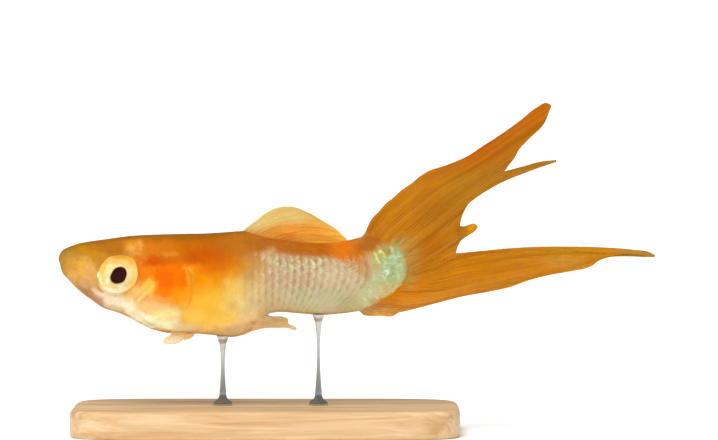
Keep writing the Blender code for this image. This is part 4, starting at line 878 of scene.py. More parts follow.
def makeSkin():
    # The shell with its relief; points near an eye's rim are drawn onto it, so that its edge is clean
    stations = 100 * form("ringPlaces", np.linspace(0, 1, bodyForm["rings"]))
    stations[0] = 0.012
    shell = bodyShell(stations, bodyForm["around"])
    x, y, z = np.moveaxis(shell, 2, 0)
    away = eyeShare(x, z)
    onRim = (np.abs(away - 1) < 0.026) & (np.abs(y) > 2)
    normal = shellNormals(shell)
    eyeX, eyeZ = bodyForm["eye"]
    x = np.where(onRim, eyeX + (x - eyeX) / away, x)
    z = np.where(onRim, eyeZ + (z - eyeZ) / away, z)
    y = np.where(onRim, np.sign(y) * sideWidth(x, z), y)
    outer = np.stack([x, y, z], axis=2) + normal * headRelief(x, y, z)[..., None]
    rings, around = outer.shape[:2]
    points = np.concatenate([outer.reshape(-1, 3), outer[0].mean(axis=0)[None]])
    k = np.arange(around)
    cap = np.stack([(k + 1) % around, k, np.full(around, rings * around)], axis=1)
    last = (rings - 1) * around
    # the last ring is a thin wedge, closed by a strip between its two sides
    middle = around // 2
    half = np.arange(1, middle - 1)
    strip = last + np.stack([half, half + 1, around - half - 1, around - half], axis=1)
    ends = last + np.array([[0, 1, around - 1], [middle - 1, middle, middle + 1]])
    flat = np.stack([x, y, z], axis=2).reshape(-1, 3)
    flat = np.concatenate([flat, flat[:around].mean(axis=0)[None]])
    paint = {"paint": bodyPaint(*flat.T), "fleck": tailFlecks(flat[:, 0], flat[:, 2])}
    skin = addMesh("skin", placed(points), [gridFaces(rings, around, closed=True), cap, strip, ends],
                   skinMaterial, paint)
    return keep(skin, "skin", "head", "trunk", "tail_stalk", "gill_cover_left", "gill_cover_right")


skin = makeSkin()
print("skin done", len(skin.data.polygons))

# Scales

scaleCoat = {
    "pitch": 2.0,             # hundredths of the body from column to column, 0.6 mm
    "rows": 18,               # scales round the body in one column
    "first": 31.0,
    "last": 89.0,
    "behindGill": 0.9,        # they start this far behind the gill cover's edge
    "length": 1.75,           # of the pitch: each lies over the roots of those behind it
    "halfWidth": 0.56,        # of the way from row to row
    "sway": 0.06,             # how much one is turned by chance
    "grid": (5, 6),
    "lift": 0.06,             # how far the free edge stands off the skin
    "dome": 0.035,
    "clear": 0.012,           # the free edge's own distance from the skin
    "rootSink": 0.03,         # how much deeper the root lies
    "thickness": 0.02,
    "roundness": 0.26,        # of the free edge, 0 for straight across
}

# Thin bone over guanine: brighter gloss than the bare skin, and a pearly crescent in each
scaleMaterial = paintedMaterial(
    "pearlyFishScale",
    {"IOR": 1.45, "Specular IOR Level": 0.08},
    noiseMm=0.12, tint=0.07, bumpMm=0.006, roughness=(0.3, 0.46), flecks="everyWay", pearls=True,
)[0]


# Scales that shine more than their neighbours, as strokes

scaleClots = (
    ("yellowWhite", ((61.8, -2.6), (61.8, -4.4)), 0.6, "#fff4b8", 0.9),
    ("mintFirst", ((64.3, -0.4), (64.4, -1.8)), 0.6, "#d4f0d8", 0.9),
    ("lilac", ((66.0, 0.4), (66.2, -0.6)), 0.6, "#cfc4cc", 0.8),
    ("paleSixtySix", ((66.2, -3.4), (66.4, -5.2)), 0.6, "#f2f2c4", 0.85),
    ("paleSixtyNine", ((68.8, -1.8), (69.2, -3.2)), 0.6, "#eef4cc", 0.85),
    ("slantSeventy", ((70.6, -2.2), (71.6, -3.8)), 0.6, "#eaf4c8", 0.85),
    ("roundMint", ((73.1, -1.2), (73.3, -1.9)), 0.8, "#d8f2cc", 0.95),
    ("yellowGreen", ((74.4, -1.0), (75.4, -2.4)), 0.6, "#e6f0a6", 0.85),
    ("yellowGreenRear", ((77.2, -1.4), (77.8, -2.6)), 0.5, "#e8f0b0", 0.85),
    ("thinFront", ((55.8, -9.4), (55.9, -11.6)), 0.5, "#f6e0a4", 0.8),
    ("yellowFront", ((57.9, -9.6), (58.1, -12.0)), 0.65, "#fbf2b0", 0.95),
    ("lowSixtyFour", ((63.9, -10.6), (64.1, -12.2)), 0.6, "#ead9ac", 0.8),
    ("lowSixtySix", ((66.0, -8.0), (66.1, -9.6)), 0.6, "#eadcb4", 0.8),
    ("lowSixtySixRear", ((66.0, -11.0), (66.2, -12.8)), 0.6, "#e8dcae", 0.8),
    ("mintLow", ((70.4, -11.4), (70.7, -13.8)), 0.8, "#d2e2b8", 0.85),
    ("mintLowRear", ((73.1, -11.4), (73.3, -13.0)), 0.6, "#d6e2ba", 0.85),
    ("mintLowest", ((70.8, -14.2), (71.2, -15.2)), 0.5, "#d2e0b4", 0.8),
    ("paleRear", ((77.5, -12.4), (77.9, -13.6)), 0.5, "#dce2ba", 0.8),
    ("slantRear", ((75.2, -4.6), (76.8, -7.0)), 0.5, "#efdcb8", 0.7),
    ("slantRearLow", ((78.0, -5.6), (79.0, -7.6)), 0.5, "#eadcb8", 0.7),
    ("topFirst", ((60.9, 0.6), (61.1, -0.4)), 0.5, "#e2dcc0", 0.8),
    ("topSecond", ((62.8, 1.2), (63.0, 0.4)), 0.45, "#dfe4d4", 0.8),
    ("midFirst", ((59.2, -4.6), (59.4, -6.4)), 0.5, "#ecd49a", 0.75),
    ("midSecond", ((63.6, -5.4), (63.8, -7.2)), 0.5, "#eedfb2", 0.75),
    ("lowFirst", ((60.4, -9.8), (60.6, -11.8)), 0.5, "#eedca0", 0.75),
    ("mintTop", ((76.6, 0.3), (77.6, -0.3)), 0.5, "#dbe8a8", 0.9),
    ("mintTopRear", ((79.5, -0.2), (80.4, -1.8)), 0.5, "#dfe8ac", 0.85),
    ("paleHigh", ((82.2, -1.8), (82.9, -3.4)), 0.5, "#ecdcb0", 0.8),
    ("slantLast", ((84.4, -5.0), (85.4, -6.8)), 0.5, "#e8e4c0", 0.85),
    ("roundLow", ((81.8, -8.2), (82.3, -10.2)), 0.7, "#dfe2bc", 0.9),
    ("thinLow", ((84.1, -8.0), (84.5, -9.8)), 0.5, "#dde0b6", 0.85),
    ("midThird", ((69.2, -7.4), (69.4, -9.6)), 0.5, "#e6dfb6", 0.8),
    ("midFourth", ((67.8, -9.8), (68.0, -12.0)), 0.5, "#e2deb0", 0.8),
    ("midFifth", ((72.4, -7.6), (73.0, -9.4)), 0.5, "#e2deb6", 0.8),
    ("midSixth", ((75.0, -8.8), (75.5, -10.6)), 0.5, "#dadcb2", 0.75),
    ("frontLow", ((62.2, -11.8), (62.4, -13.8)), 0.5, "#e6d2a0", 0.75),
    ("frontThin", ((56.8, -6.6), (56.9, -8.6)), 0.5, "#f6dc98", 0.8),
    ("rootFirst", ((86.6, -6.2), (87.4, -8.2)), 0.5, "#e4e8c8", 0.85),
    ("rootSecond", ((88.6, -8.4), (89.4, -10.2)), 0.5, "#e0ebca", 0.85),
    ("rootThird", ((86.2, -10.2), (86.8, -12.0)), 0.5, "#dee2ba", 0.8),
)


def makeScales():
    # Each scale is a small grid (u back along the body, v round it) laid over the shell and
    # lifted by h = lift * u + dome * u * (1 - v^2) from a sunk root, with a rounded rear edge
    stations = np.linspace(24, 100, 400)
    around = 512
    shell = bodyShell(stations, around)
    normal = shellNormals(shell)
    column = np.arange(scaleCoat["first"], scaleCoat["last"], scaleCoat["pitch"])
    index, j = np.meshgrid(np.arange(len(column)), np.arange(scaleCoat["rows"]), indexing="ij")
    s0 = column[index].ravel()
    w0 = ((j + 0.5 * (index % 2)) / scaleCoat["rows"]).ravel() % 1

    def onShell(s, w):   # the shell's point and normal, between its grid points
        a = np.clip((s - stations[0]) / (stations[1] - stations[0]), 0, len(stations) - 1.001)
        b = (w % 1) * around
        i, k = a.astype(int), b.astype(int)
        p, q = (a - i)[..., None], (b - k)[..., None]
        k, l = k % around, (k + 1) % around
        return [
            (g[i, k] * (1 - q) + g[i, l] * q) * (1 - p) + (g[i + 1, k] * (1 - q) + g[i + 1, l] * q) * p
            for g in (shell, normal)
        ]

    centre, _ = onShell(s0 + 0.6 * scaleCoat["pitch"], w0)
    chosen = centre[:, 0] - form("gillEdge", centre[:, 2]) > scaleCoat["behindGill"]
    s0, w0, count = s0[chosen], w0[chosen], int(chosen.sum())
    rng = np.random.default_rng(fish["seed"])
    tilt = rng.uniform(-1, 1, (count, 1, 1))
    glow = rng.uniform(-1, 1, (count, 2))
    rowsU, rowsV = scaleCoat["grid"]
    u = np.linspace(0, 1, rowsU)[None, :, None]
    v = np.linspace(-1, 1, rowsV)[None, None, :]
    rounded = lambda v: 1 - scaleCoat["roundness"] * (1 - np.sqrt(1 - 0.94 * v**2))
    s = np.minimum(s0[:, None, None] + u * scaleCoat["length"] * scaleCoat["pitch"] * rounded(v), 100.0)
    turned = v * scaleCoat["halfWidth"] + scaleCoat["sway"] * tilt * (u - 0.5)
    base, off = onShell(s, w0[:, None, None] + turned / scaleCoat["rows"])
    bold = 0.2 + 0.8 * span(s, 48, 60, 82, 92)   # they lie flat at both ends of the coat
    height = (scaleCoat["lift"] * (1 + 0.25 * tilt) + scaleCoat["dome"] * (1 - v**2)) * u * bold
    height = height + scaleCoat["clear"] - scaleCoat["rootSink"] * (1 - u)
    top = base + off * height[..., None]
    under = base + off * (height - scaleCoat["thickness"])[..., None]
    per = rowsU * rowsV
    points = np.concatenate([top.reshape(count, per, 3), under.reshape(count, per, 3)], axis=1)
    faces, cell = gridFaces(rowsU, rowsV), np.arange(per).reshape(rowsU, rowsV)
    rim = np.concatenate([cell[0], cell[1:, -1], cell[-1, -2::-1], cell[-2:0:-1, 0]])
    after = np.roll(rim, -1)
    walls = np.stack([after, rim, rim + per, after + per], axis=1)
    one = np.concatenate([faces, faces[:, ::-1] + per, walls])
    allFaces = (one[None] + (np.arange(count) * 2 * per)[:, None, None]).reshape(-1, 4)
    x, y, z = np.moveaxis(points, 2, 0)
    # the pearl shows along the flank, weaker low at its rear and over the saddle, faint before it
    over, under = form("back", x) - z, z - form("belly", x)
    shown = span(x, 55, 62, 87, 94) * ramp(over + 0.8 * span(x, 61, 64, 77, 80), 4.0, 6.0)
    shown = shown * ramp(under, 0.5, 2.5)
    shown = shown * (1 - 0.5 * ramp(x, 72, 79) * ramp(-z, 8.0, 10.5))
    shown = shown * (1 - 0.5 * ramp(x, 77, 80) * ramp(z, -5, -3))
    faint = 0.42 * span(x, 48, 58, 58, 63) * ramp(over, 12.5, 17.0) * ramp(under, 1.0, 3.0)
    pearl = laidOver("#e8d4b0", x, z, (
        ("cream", 50, -12, 7, 10, 0, "#f8dc94", 0.9),
        ("paleYellow", 57.5, -9, 2.6, 5, 0, "#f2e6ac", 0.9),
        ("topMint", 72, -2, 14, 1.9, 0, "#d8e4a6", 0.95),
        ("rose", 74, -6, 9, 2.4, 0, "#ecd2b4", 0.9),
        ("low", 76, -12.5, 14, 3.6, 0, "#d8d2a2", 0.9),
    ))
    # it changes by chance from scale to scale and from place to place, and is bright in the low rows
    lowRow = bell(x, 70, 7) * ramp(-z, 6.0, 9.0)
    bright = stirred(0.56 + 0.38 * glow[:, :1] + 0.3 * lowRow, x, z, ((0.26, 2.2, 21),))
    strength = np.clip((shown + faint) * bright, 0, 1)
    pearl = brushed(np.concatenate([pearl, strength[..., None]], axis=2), x, z, scaleClots)
    colour = bodyPaint(x, y, z) * (1 + 0.04 * glow[:, 1:2])[..., None]
    u, v = (np.tile(np.broadcast_to(g, (count, rowsU, rowsV)).reshape(count, per), 2) for g in (u, v))
    fromEdge = (1 - u) * rounded(v) * scaleCoat["length"] / 2
    # a map for baking, where each scale is a small square at the place of its root
    root = np.stack([s0 / 100, w0], axis=1)[:, None]
    square = np.stack([u - 0.5, v / 2], axis=2) * 0.003
    coat = addMesh("scales", placed(points.reshape(-1, 3)), allFaces, scaleMaterial,
                   {"paint": colour, "pearl": pearl, "fleck": tailFlecks(x, z)},
                   {"OFBake": (root + square).reshape(-1, 2),
                    "scaleMap": np.stack([fromEdge, v], axis=2).reshape(-1, 2)})
    coat.data.set_sharp_from_angle(angle=math.radians(50))
    return keep(coat, "skin")


scales = makeScales()
print("scales done", len(scales.data.polygons))

# Eyes

eyeForm = {
    "standOut": 0.95,         # past the head's side
    "domePowers": (2.4, 0.75),
    "rimSink": 0.04,          # the rim lies this deep in the socket
    "depth": 2.4,             # of the bowl behind the rim
    "pupil": (0.16, -0.2),    # its centre from the eye's centre
    "pupilSize": (2.68, 1.98),
    "pupilTurn": 50,
    "pupilLip": 0.05,         # the iris rises round the pupil
    "pupilSink": 0.5,         # and dips inside it
    "lensSink": 0.3,          # the lens's middle below the dome's top
    "lensHalf": 0.42,         # half its thickness
    "lensReach": 0.96,        # its half sizes as a share of the pupil's
}

# Wet iris: guanine gives a creamy pearl, and the cornea a clear gloss over it
irisMaterial = paintedMaterial(
    "pearlIris", {"IOR": 1.376, "Specular IOR Level": 0.25, "Coat Weight": 0.25, "Coat Roughness": 0.06},
    noiseMm=0.16, tint=0.04, bumpMm=0.004, roughness=(0.32, 0.44),
)[0]


def lensMaterial():
    # The lens bulges through the pupil, black because no light comes back from behind it,
    # with the faintest haze and unevenness of a wet surface
    made, tree, shader, spot = newMaterial("blackLens", {"IOR": 1.42, "Specular IOR Level": 0.07})
    haze = noiseAt(tree, spot, 4000.0)
    tree.links.new(blended(tree, "#260a0a", "#34100e", haze), shader.inputs["Base Color"])
    grained(tree, shader, haze, haze, (0.12, 0.24), 0.000004, 0.1)
    return made


def roundBody(name, rings, material, way, paint=None):
    # A closed body of rings of points from its front pole to its rear one
    points, faces = closedRings(rings)
    if way > 0:
        faces = [f[:, ::-1] for f in faces]
    if paint is not None:
        flat = paint.reshape(-1, 3)
        paint = {"paint": np.concatenate([flat, flat[:1], flat[-1:]])}
    return addMesh(name, placed(points), faces, material, paint)


def makeEye(side, way, lens):
    # A low dome over the head's side, height = stand out * (1 - q^2.4)^0.75 at the share q of its
    # radius, closed behind by a bowl; the lens is a smaller dome that comes through the pupil
    eyeX, eyeZ = bodyForm["eye"]
    across, up = bodyForm["eyeSize"]
    q = np.concatenate([np.linspace(0.02, 0.9, 60), np.linspace(0.91, 1.0, 18)])[:, None]
    turn = np.linspace(0, 2 * math.pi, 144, endpoint=False)[None]
    bowl = np.linspace(0.12, 1.5, 16)[:, None]
    share = np.concatenate([q, np.cos(bowl)]) + 0 * turn
    cornerOut = cornered(np.arctan2(up * np.sin(turn), across * np.cos(turn)), bodyForm["eyeCorners"])
    x, z = across * share * np.cos(turn) * cornerOut, up * share * np.sin(turn) * cornerOut
    fromPupil = x - eyeForm["pupil"][0], z - eyeForm["pupil"][1]
    along, aside = turnedBy(*fromPupil, -eyeForm["pupilTurn"])
    pupil = np.hypot(along / eyeForm["pupilSize"][0], aside / eyeForm["pupilSize"][1])
    pupil = pupil / cornered(np.arctan2(*fromPupil[::-1]), bodyForm["pupilCorners"])
    sink, (power, root) = eyeForm["rimSink"], eyeForm["domePowers"]
    dome = (eyeForm["standOut"] + sink) * (1 - q**power).clip(0) ** root - sink + 0 * turn
    dome = dome - 0.006 * bell(q, 0.8, 0.05) + eyeForm["pupilLip"] * bell(pupil[:len(q)], 1.14, 0.1)
    dome = dome - eyeForm["pupilSink"] * (1 - ramp(pupil[:len(q)], 0.9, 1.04))
    behind = -sink - eyeForm["depth"] * np.sin(bowl) + 0 * turn
    y = sideWidth(eyeX + x, eyeZ + z) + np.concatenate([dome, behind])
    rings = np.stack([x + eyeX, way * y, z + eyeZ], axis=2)
    colour = 1.06 * laidOver("#ffe496", x, z, (
        ("outerFront", -4.5, 1.7, 0.9, 2.3, -22, "#ffc94c", 0.9, 0.8),
        ("frontInner", -2.9, 0.2, 0.9, 2.8, -8, "#fff0ac", 0.9, 0.8),
        ("topArc", 1, 4.5, 4.2, 0.8, 0, "#f8b238", 0.9, 0.8),
        ("topPeach", -0.2, 3.6, 2.6, 0.7, 0, "#ffbe66", 0.9, 0.8),
        ("topFront", -3.4, 3.9, 1.2, 0.8, 45, "#f4b23a", 0.9, 0.8),
        ("rearTop", 4.5, 3.4, 2, 1.1, -52, "#ffac32", 0.9, 0.8),
        ("rear", 4.7, 0, 0.9, 3.2, 0, "#ffe27c", 0.9, 0.8),
        ("rearInner", 3.2, -0.4, 0.5, 2.2, 0, "#ffe49c", 0.7, 0.8),
        ("innerTop", 2.3, 2.9, 1.6, 0.9, -30, "#ffc87a", 0.8),
        ("lowRear", 4.2, -2.9, 1, 1.7, -35, "#ffd264", 0.9, 0.8),
        ("low", -1.9, -4.8, 2.4, 0.9, -14, "#fffcd8", 0.9, 0.8),
        ("lowMiddle", -1.2, -3.8, 0.7, 0.7, 0, "#ffe48c", 0.8, 0.8),
        ("lowRearRim", 1.6, -4.4, 1.8, 0.9, 24, "#ffe8a8", 0.7),
        ("frontBand", -4.3, -1.6, 0.5, 1.6, 10, "#ffdc80", 0.8, 0.8),
        ("frontLow", -5.3, -1.6, 0.6, 1.7, 12, "#fffbb4", 0.9, 0.8),
        ("frontWhite", -3.1, -2.3, 0.5, 0.9, 0, "#fffddc", 0.8, 0.8),
        ("goldTop", 0.4, 5.3, 3.8, 0.7, -2, "#dc9c1a", 0.95, 0.8),
        ("lowGlow", 0.7, -3, 1, 0.6, 0, "#fff0c4", 0.7),
        ("knob", -6, -0.1, 0.6, 0.7, 0, "#fff8c0", 0.9, 0.7),
        ("glint", 0.9, -3.9, 0.9, 0.7, 10, "#ffffe6", 0.95, 0.6),
    ))
    # painted light: the iris is painted brighter along its lower rim, where it turns down from the lamps
    colour *= (1 + 0.26 * ramp(share, 0.7, 1.0) * ramp(-z, 0, 4))[..., None]
    colour = mixed(colour, "#fff0b4", 0.4 * bell(pupil, 1.2, 0.12) * ramp(-z, -3, 0))
    colour = mixed(colour, "#f0b860", 0.15 * bell(share, 0.79, 0.05) * ramp(x, 0, 3))
    ray = noiseField(np.arctan2(z, x) * 7, share * 3, 0.6, 31)
    colour = mixed(colour, "#f2be62", 0.25 * ramp(ray, 0.1, 0.8))
    colour = mixed(colour, "#a4602a", (0.4 + 0.45 * ramp(-x - z, -1, 2)) * bell(pupil, 1.05, 0.06))
    colour = mixed(colour, "#30100f", 1 - ramp(pupil, 0.94, 1.05))
    colour[len(q):] = linear("#8a5a28")   # the bowl behind
    keep(roundBody("eye_" + side + "_iris", rings, irisMaterial, way, colour), "eye", "eye_" + side)
    t = np.linspace(0.05, math.pi - 0.05, 40)[:, None]
    across, up = (eyeForm["lensReach"] * r * np.sin(t) for r in eyeForm["pupilSize"])
    x, z = turnedBy(across * np.cos(turn), up * np.sin(turn), eyeForm["pupilTurn"])
    cornerOut = cornered(np.arctan2(z, x), bodyForm["pupilCorners"])
    x, z = x * cornerOut, z * cornerOut
    x, z = eyeX + eyeForm["pupil"][0] + x, eyeZ + eyeForm["pupil"][1] + z
    y = sideWidth(x, z) + eyeForm["standOut"] - eyeForm["lensSink"] + eyeForm["lensHalf"] * np.cos(t)
    keep(roundBody("eye_" + side + "_lens", np.stack([x, way * y, z], axis=2), lens, way), "eye")


blackLens = lensMaterial()
for side, way in bothSides:
    makeEye(side, way, blackLens)
print("eyes done")

# Fins: a flat outline split into triangles along fine lines that run out between guide lines,
# leaned out of the middle plane and given a thickness, with the rays as ridges on both faces

rayJoint = 0.00022   # metres from joint to joint of a ray


def finMaterial(name, alpha, roughness, bumpMm, flecks=None):
    # Thin skin over soft rays of many short joints: silky, a little see-through
    made, tree, shader, bump = paintedMaterial(
        name, {"IOR": 1.4, "Specular IOR Level": 0.05, "Alpha": alpha},
        noiseMm=0.3, tint=0.05, bumpMm=bumpMm, roughness=roughness, flecks=flecks,
    )
    ray = addNode(tree, "ShaderNodeUVMap", uv_map="rayMap")
    joints = addNode(tree, "ShaderNodeTexWave", {
        "Vector": ray.outputs[0], "Scale": 1.0, "Distortion": 1.2, "Detail": 1.0, "Detail Scale": 2.0,
    }, bands_direction="Y")
    second = addNode(tree, "ShaderNodeBump", {
        "Height": joints.outputs[0], "Normal": bump.outputs[0], "Strength": 0.25, "Distance": 0.00001,
    })
    tree.links.new(second.outputs[0], shader.inputs["Normal"])
    return made


def insideBy(points, edge):   # how far inside a closed outline each point lies, less than 0 outside
    run = np.roll(edge, -1, axis=0) - edge
    best, odd = np.full(len(points), 1e9), np.zeros(len(points), bool)
    for start, step in zip(edge, run):
        away = points - start
        t = np.clip((away @ step) / max(step @ step, 1e-12), 0, 1)
        best = np.minimum(best, np.hypot(*(away - t[:, None] * step).T))
        above = (points[:, 1] < start[1]) != (points[:, 1] < start[1] + step[1])
        if step[1] != 0:
            odd ^= above & (away[:, 1] / step[1] * step[0] > away[:, 0])
    return np.where(odd, best, -best)


def finOutline(fin):   # the parts of the outline, each from the end of the one before it
    ends = [part[-1] for part in fin["edges"]]
    return np.concatenate([
        evenLine((start,) + part, step=fin["edgeStep"])[:-1]
        for start, part in zip(ends[-1:] + ends, fin["edges"])
    ])


def finLines(fin):
    # The guides, read at a share t of their length, and blended from one to the next
    reach = max(alongLine(np.array(guide))[-1] for guide in fin["guides"])
    guides = np.stack([evenLine(guide, round(reach / fin["alongStep"]) + 1) for guide in fin["guides"]])
    rayAt = np.concatenate([[0], np.cumsum(fin["rays"])])
    phase = np.arange(0, rayAt[-1] + 0.01, 1 / fin["linesPerRay"])
    at = np.interp(phase, rayAt, np.arange(len(rayAt)))
    i = np.minimum(at.astype(int), len(guides) - 2)
    share = (at - i)[:, None, None]
    return (1 - share) * guides[i] + share * guides[i + 1], phase, reach


def makeFin(name, fin, lean, paint, material, slotName, *nodes):
    edge = finOutline(fin)
    lines, phase, reach = finLines(fin)
    rows, count = lines.shape[:2]
    # where the lines crowd together, every second one ends first, then all but every fourth one, and
    # in the end all but every fourth ray's
    spacing = np.linalg.norm(np.gradient(lines, axis=0), axis=2)
    k = np.arange(rows)
    level = np.where(k % 4 == 0, 4.0, np.where(k % 2 == 0, 2.0, 1.0))
    level = np.where(k % (4 * fin["linesPerRay"]) == 0, 16.0, level)[:, None]
    clear = insideBy(lines.reshape(-1, 2), edge).reshape(rows, count)
    kept = (clear > fin["margin"]) & (spacing * level > fin["leastGap"])
    number = np.full(kept.shape, -1)
    number[kept] = len(edge) + np.arange(kept.sum())
    follows = kept[:, :-1] & kept[:, 1:]
    ring = np.arange(len(edge))
    joins = np.concatenate([
        np.stack([ring, np.roll(ring, -1)], axis=1),
        np.stack([number[:, :-1][follows], number[:, 1:][follows]], axis=1),
    ])
    flat = np.concatenate([edge, lines[kept]])
    split = delaunay_2d_cdt([Vector(p) for p in flat.tolist()], joins.tolist(), [], 0, 1e-6, True)
    corners, faces = np.array([tuple(p) for p in split[0]]), np.array(split[2])
    faces = faces[insideBy(corners[faces].mean(axis=1), edge) > 0]
    source = np.array([ids[0] if ids else 0 for ids in split[3]])
    # each point's share t of its line and its place among the rays; the outline's points take
    # both from the nearest of some of the lines' points
    out, some = np.linspace(0, 1, count)[None] + 0 * spacing, (slice(None, None, 2), slice(None, None, 6))
    nearest = np.abs(edge[:, None] - lines[some].reshape(1, -1, 2)).sum(axis=2).argmin(axis=1)
    t, place = (
        np.concatenate([value[some].ravel()[nearest], value[kept]])
        for value in (out, phase[:, None] + 0 * out)
    )
    # one ridge for each ray and two where it has parted, flat where the mesh is too coarse for them
    room, even = spacing[kept] * fin["linesPerRay"] / fin["leastGap"], 0.4
    one, two = (
        even + ((0.5 + 0.5 * np.cos(2 * math.pi * place * times)) ** power - even)
        * np.concatenate([np.zeros(len(edge)), ramp(room, 2.0 * times, 3.2 * times)])
        for times, power in ((1, 1.6), (2, 1.3))
    )
    ridge = one + (two - one) * ramp(t, *fin["branch"])
    t, place, ridge = t[source], place[source], ridge[source]
    x, z = corners.T
    step = 0.1
    slopeX, slopeZ = (
        (lean(x + a, z + b) - lean(x - a, z - b)) / (2 * step) for a, b in ((step, 0), (0, step))
    )
    normal = np.stack([-slopeX, np.ones(len(x)), -slopeZ], axis=1)
    normal /= np.linalg.norm(normal, axis=1, keepdims=True)
    rootHalf, tipHalf = fin["half"]
    half = (rootHalf - tipHalf) * (1 - t) ** fin.get("taper", 1.3)
    if rootHalf > 1:   # a fleshy root is rounded off towards the outline
        half = half * np.sqrt(np.clip(insideBy(corners, edge) / 2.2, 0, 1))
    half = (tipHalf + half + fin["ridge"] * ridge * (1 - 0.6 * t))[:, None]
    middle = np.stack([x, lean(x, z) + 0 * x, z], axis=1)
    # faces run so that their normals point out of each side, and walls close the rim
    if np.linalg.det(np.diff(corners[faces], axis=1)).sum() > 0:
        faces = faces[:, ::-1]
    under = len(x)
    sides = np.concatenate([faces[:, [0, 1]], faces[:, [1, 2]], faces[:, [2, 0]]])
    a, b = sides[~np.isin(sides @ (under, 1), sides @ (1, under))].T
    walls = np.stack([b, a, a + under, b + under], axis=1)
    layers = {"paint": paint(x, z, t, place, ridge), "fleck": tailFlecks(x, z)}
    uv = np.stack([place, t * reach * unit / rayJoint], axis=1)
    piece = addMesh(name, placed(np.concatenate([middle + normal * half, middle - normal * half])),
                    [faces, faces[:, ::-1] + under, walls], material,
                    {title: np.concatenate([values, values]) for title, values in layers.items()},
                    {"rayMap": np.concatenate([uv, uv])})
    # sharp edges along the rim, so that its walls don't shade the faces beside them
    ends = np.empty(2 * len(piece.data.edges), np.int32)
    piece.data.edges.foreach_get("vertices", ends)
    rim = np.tile(source < len(edge), 2)[ends].reshape(-1, 2).all(axis=1)
    piece.data.edges.foreach_set("use_edge_sharp", rim)
    return keep(piece, slotName, *nodes)


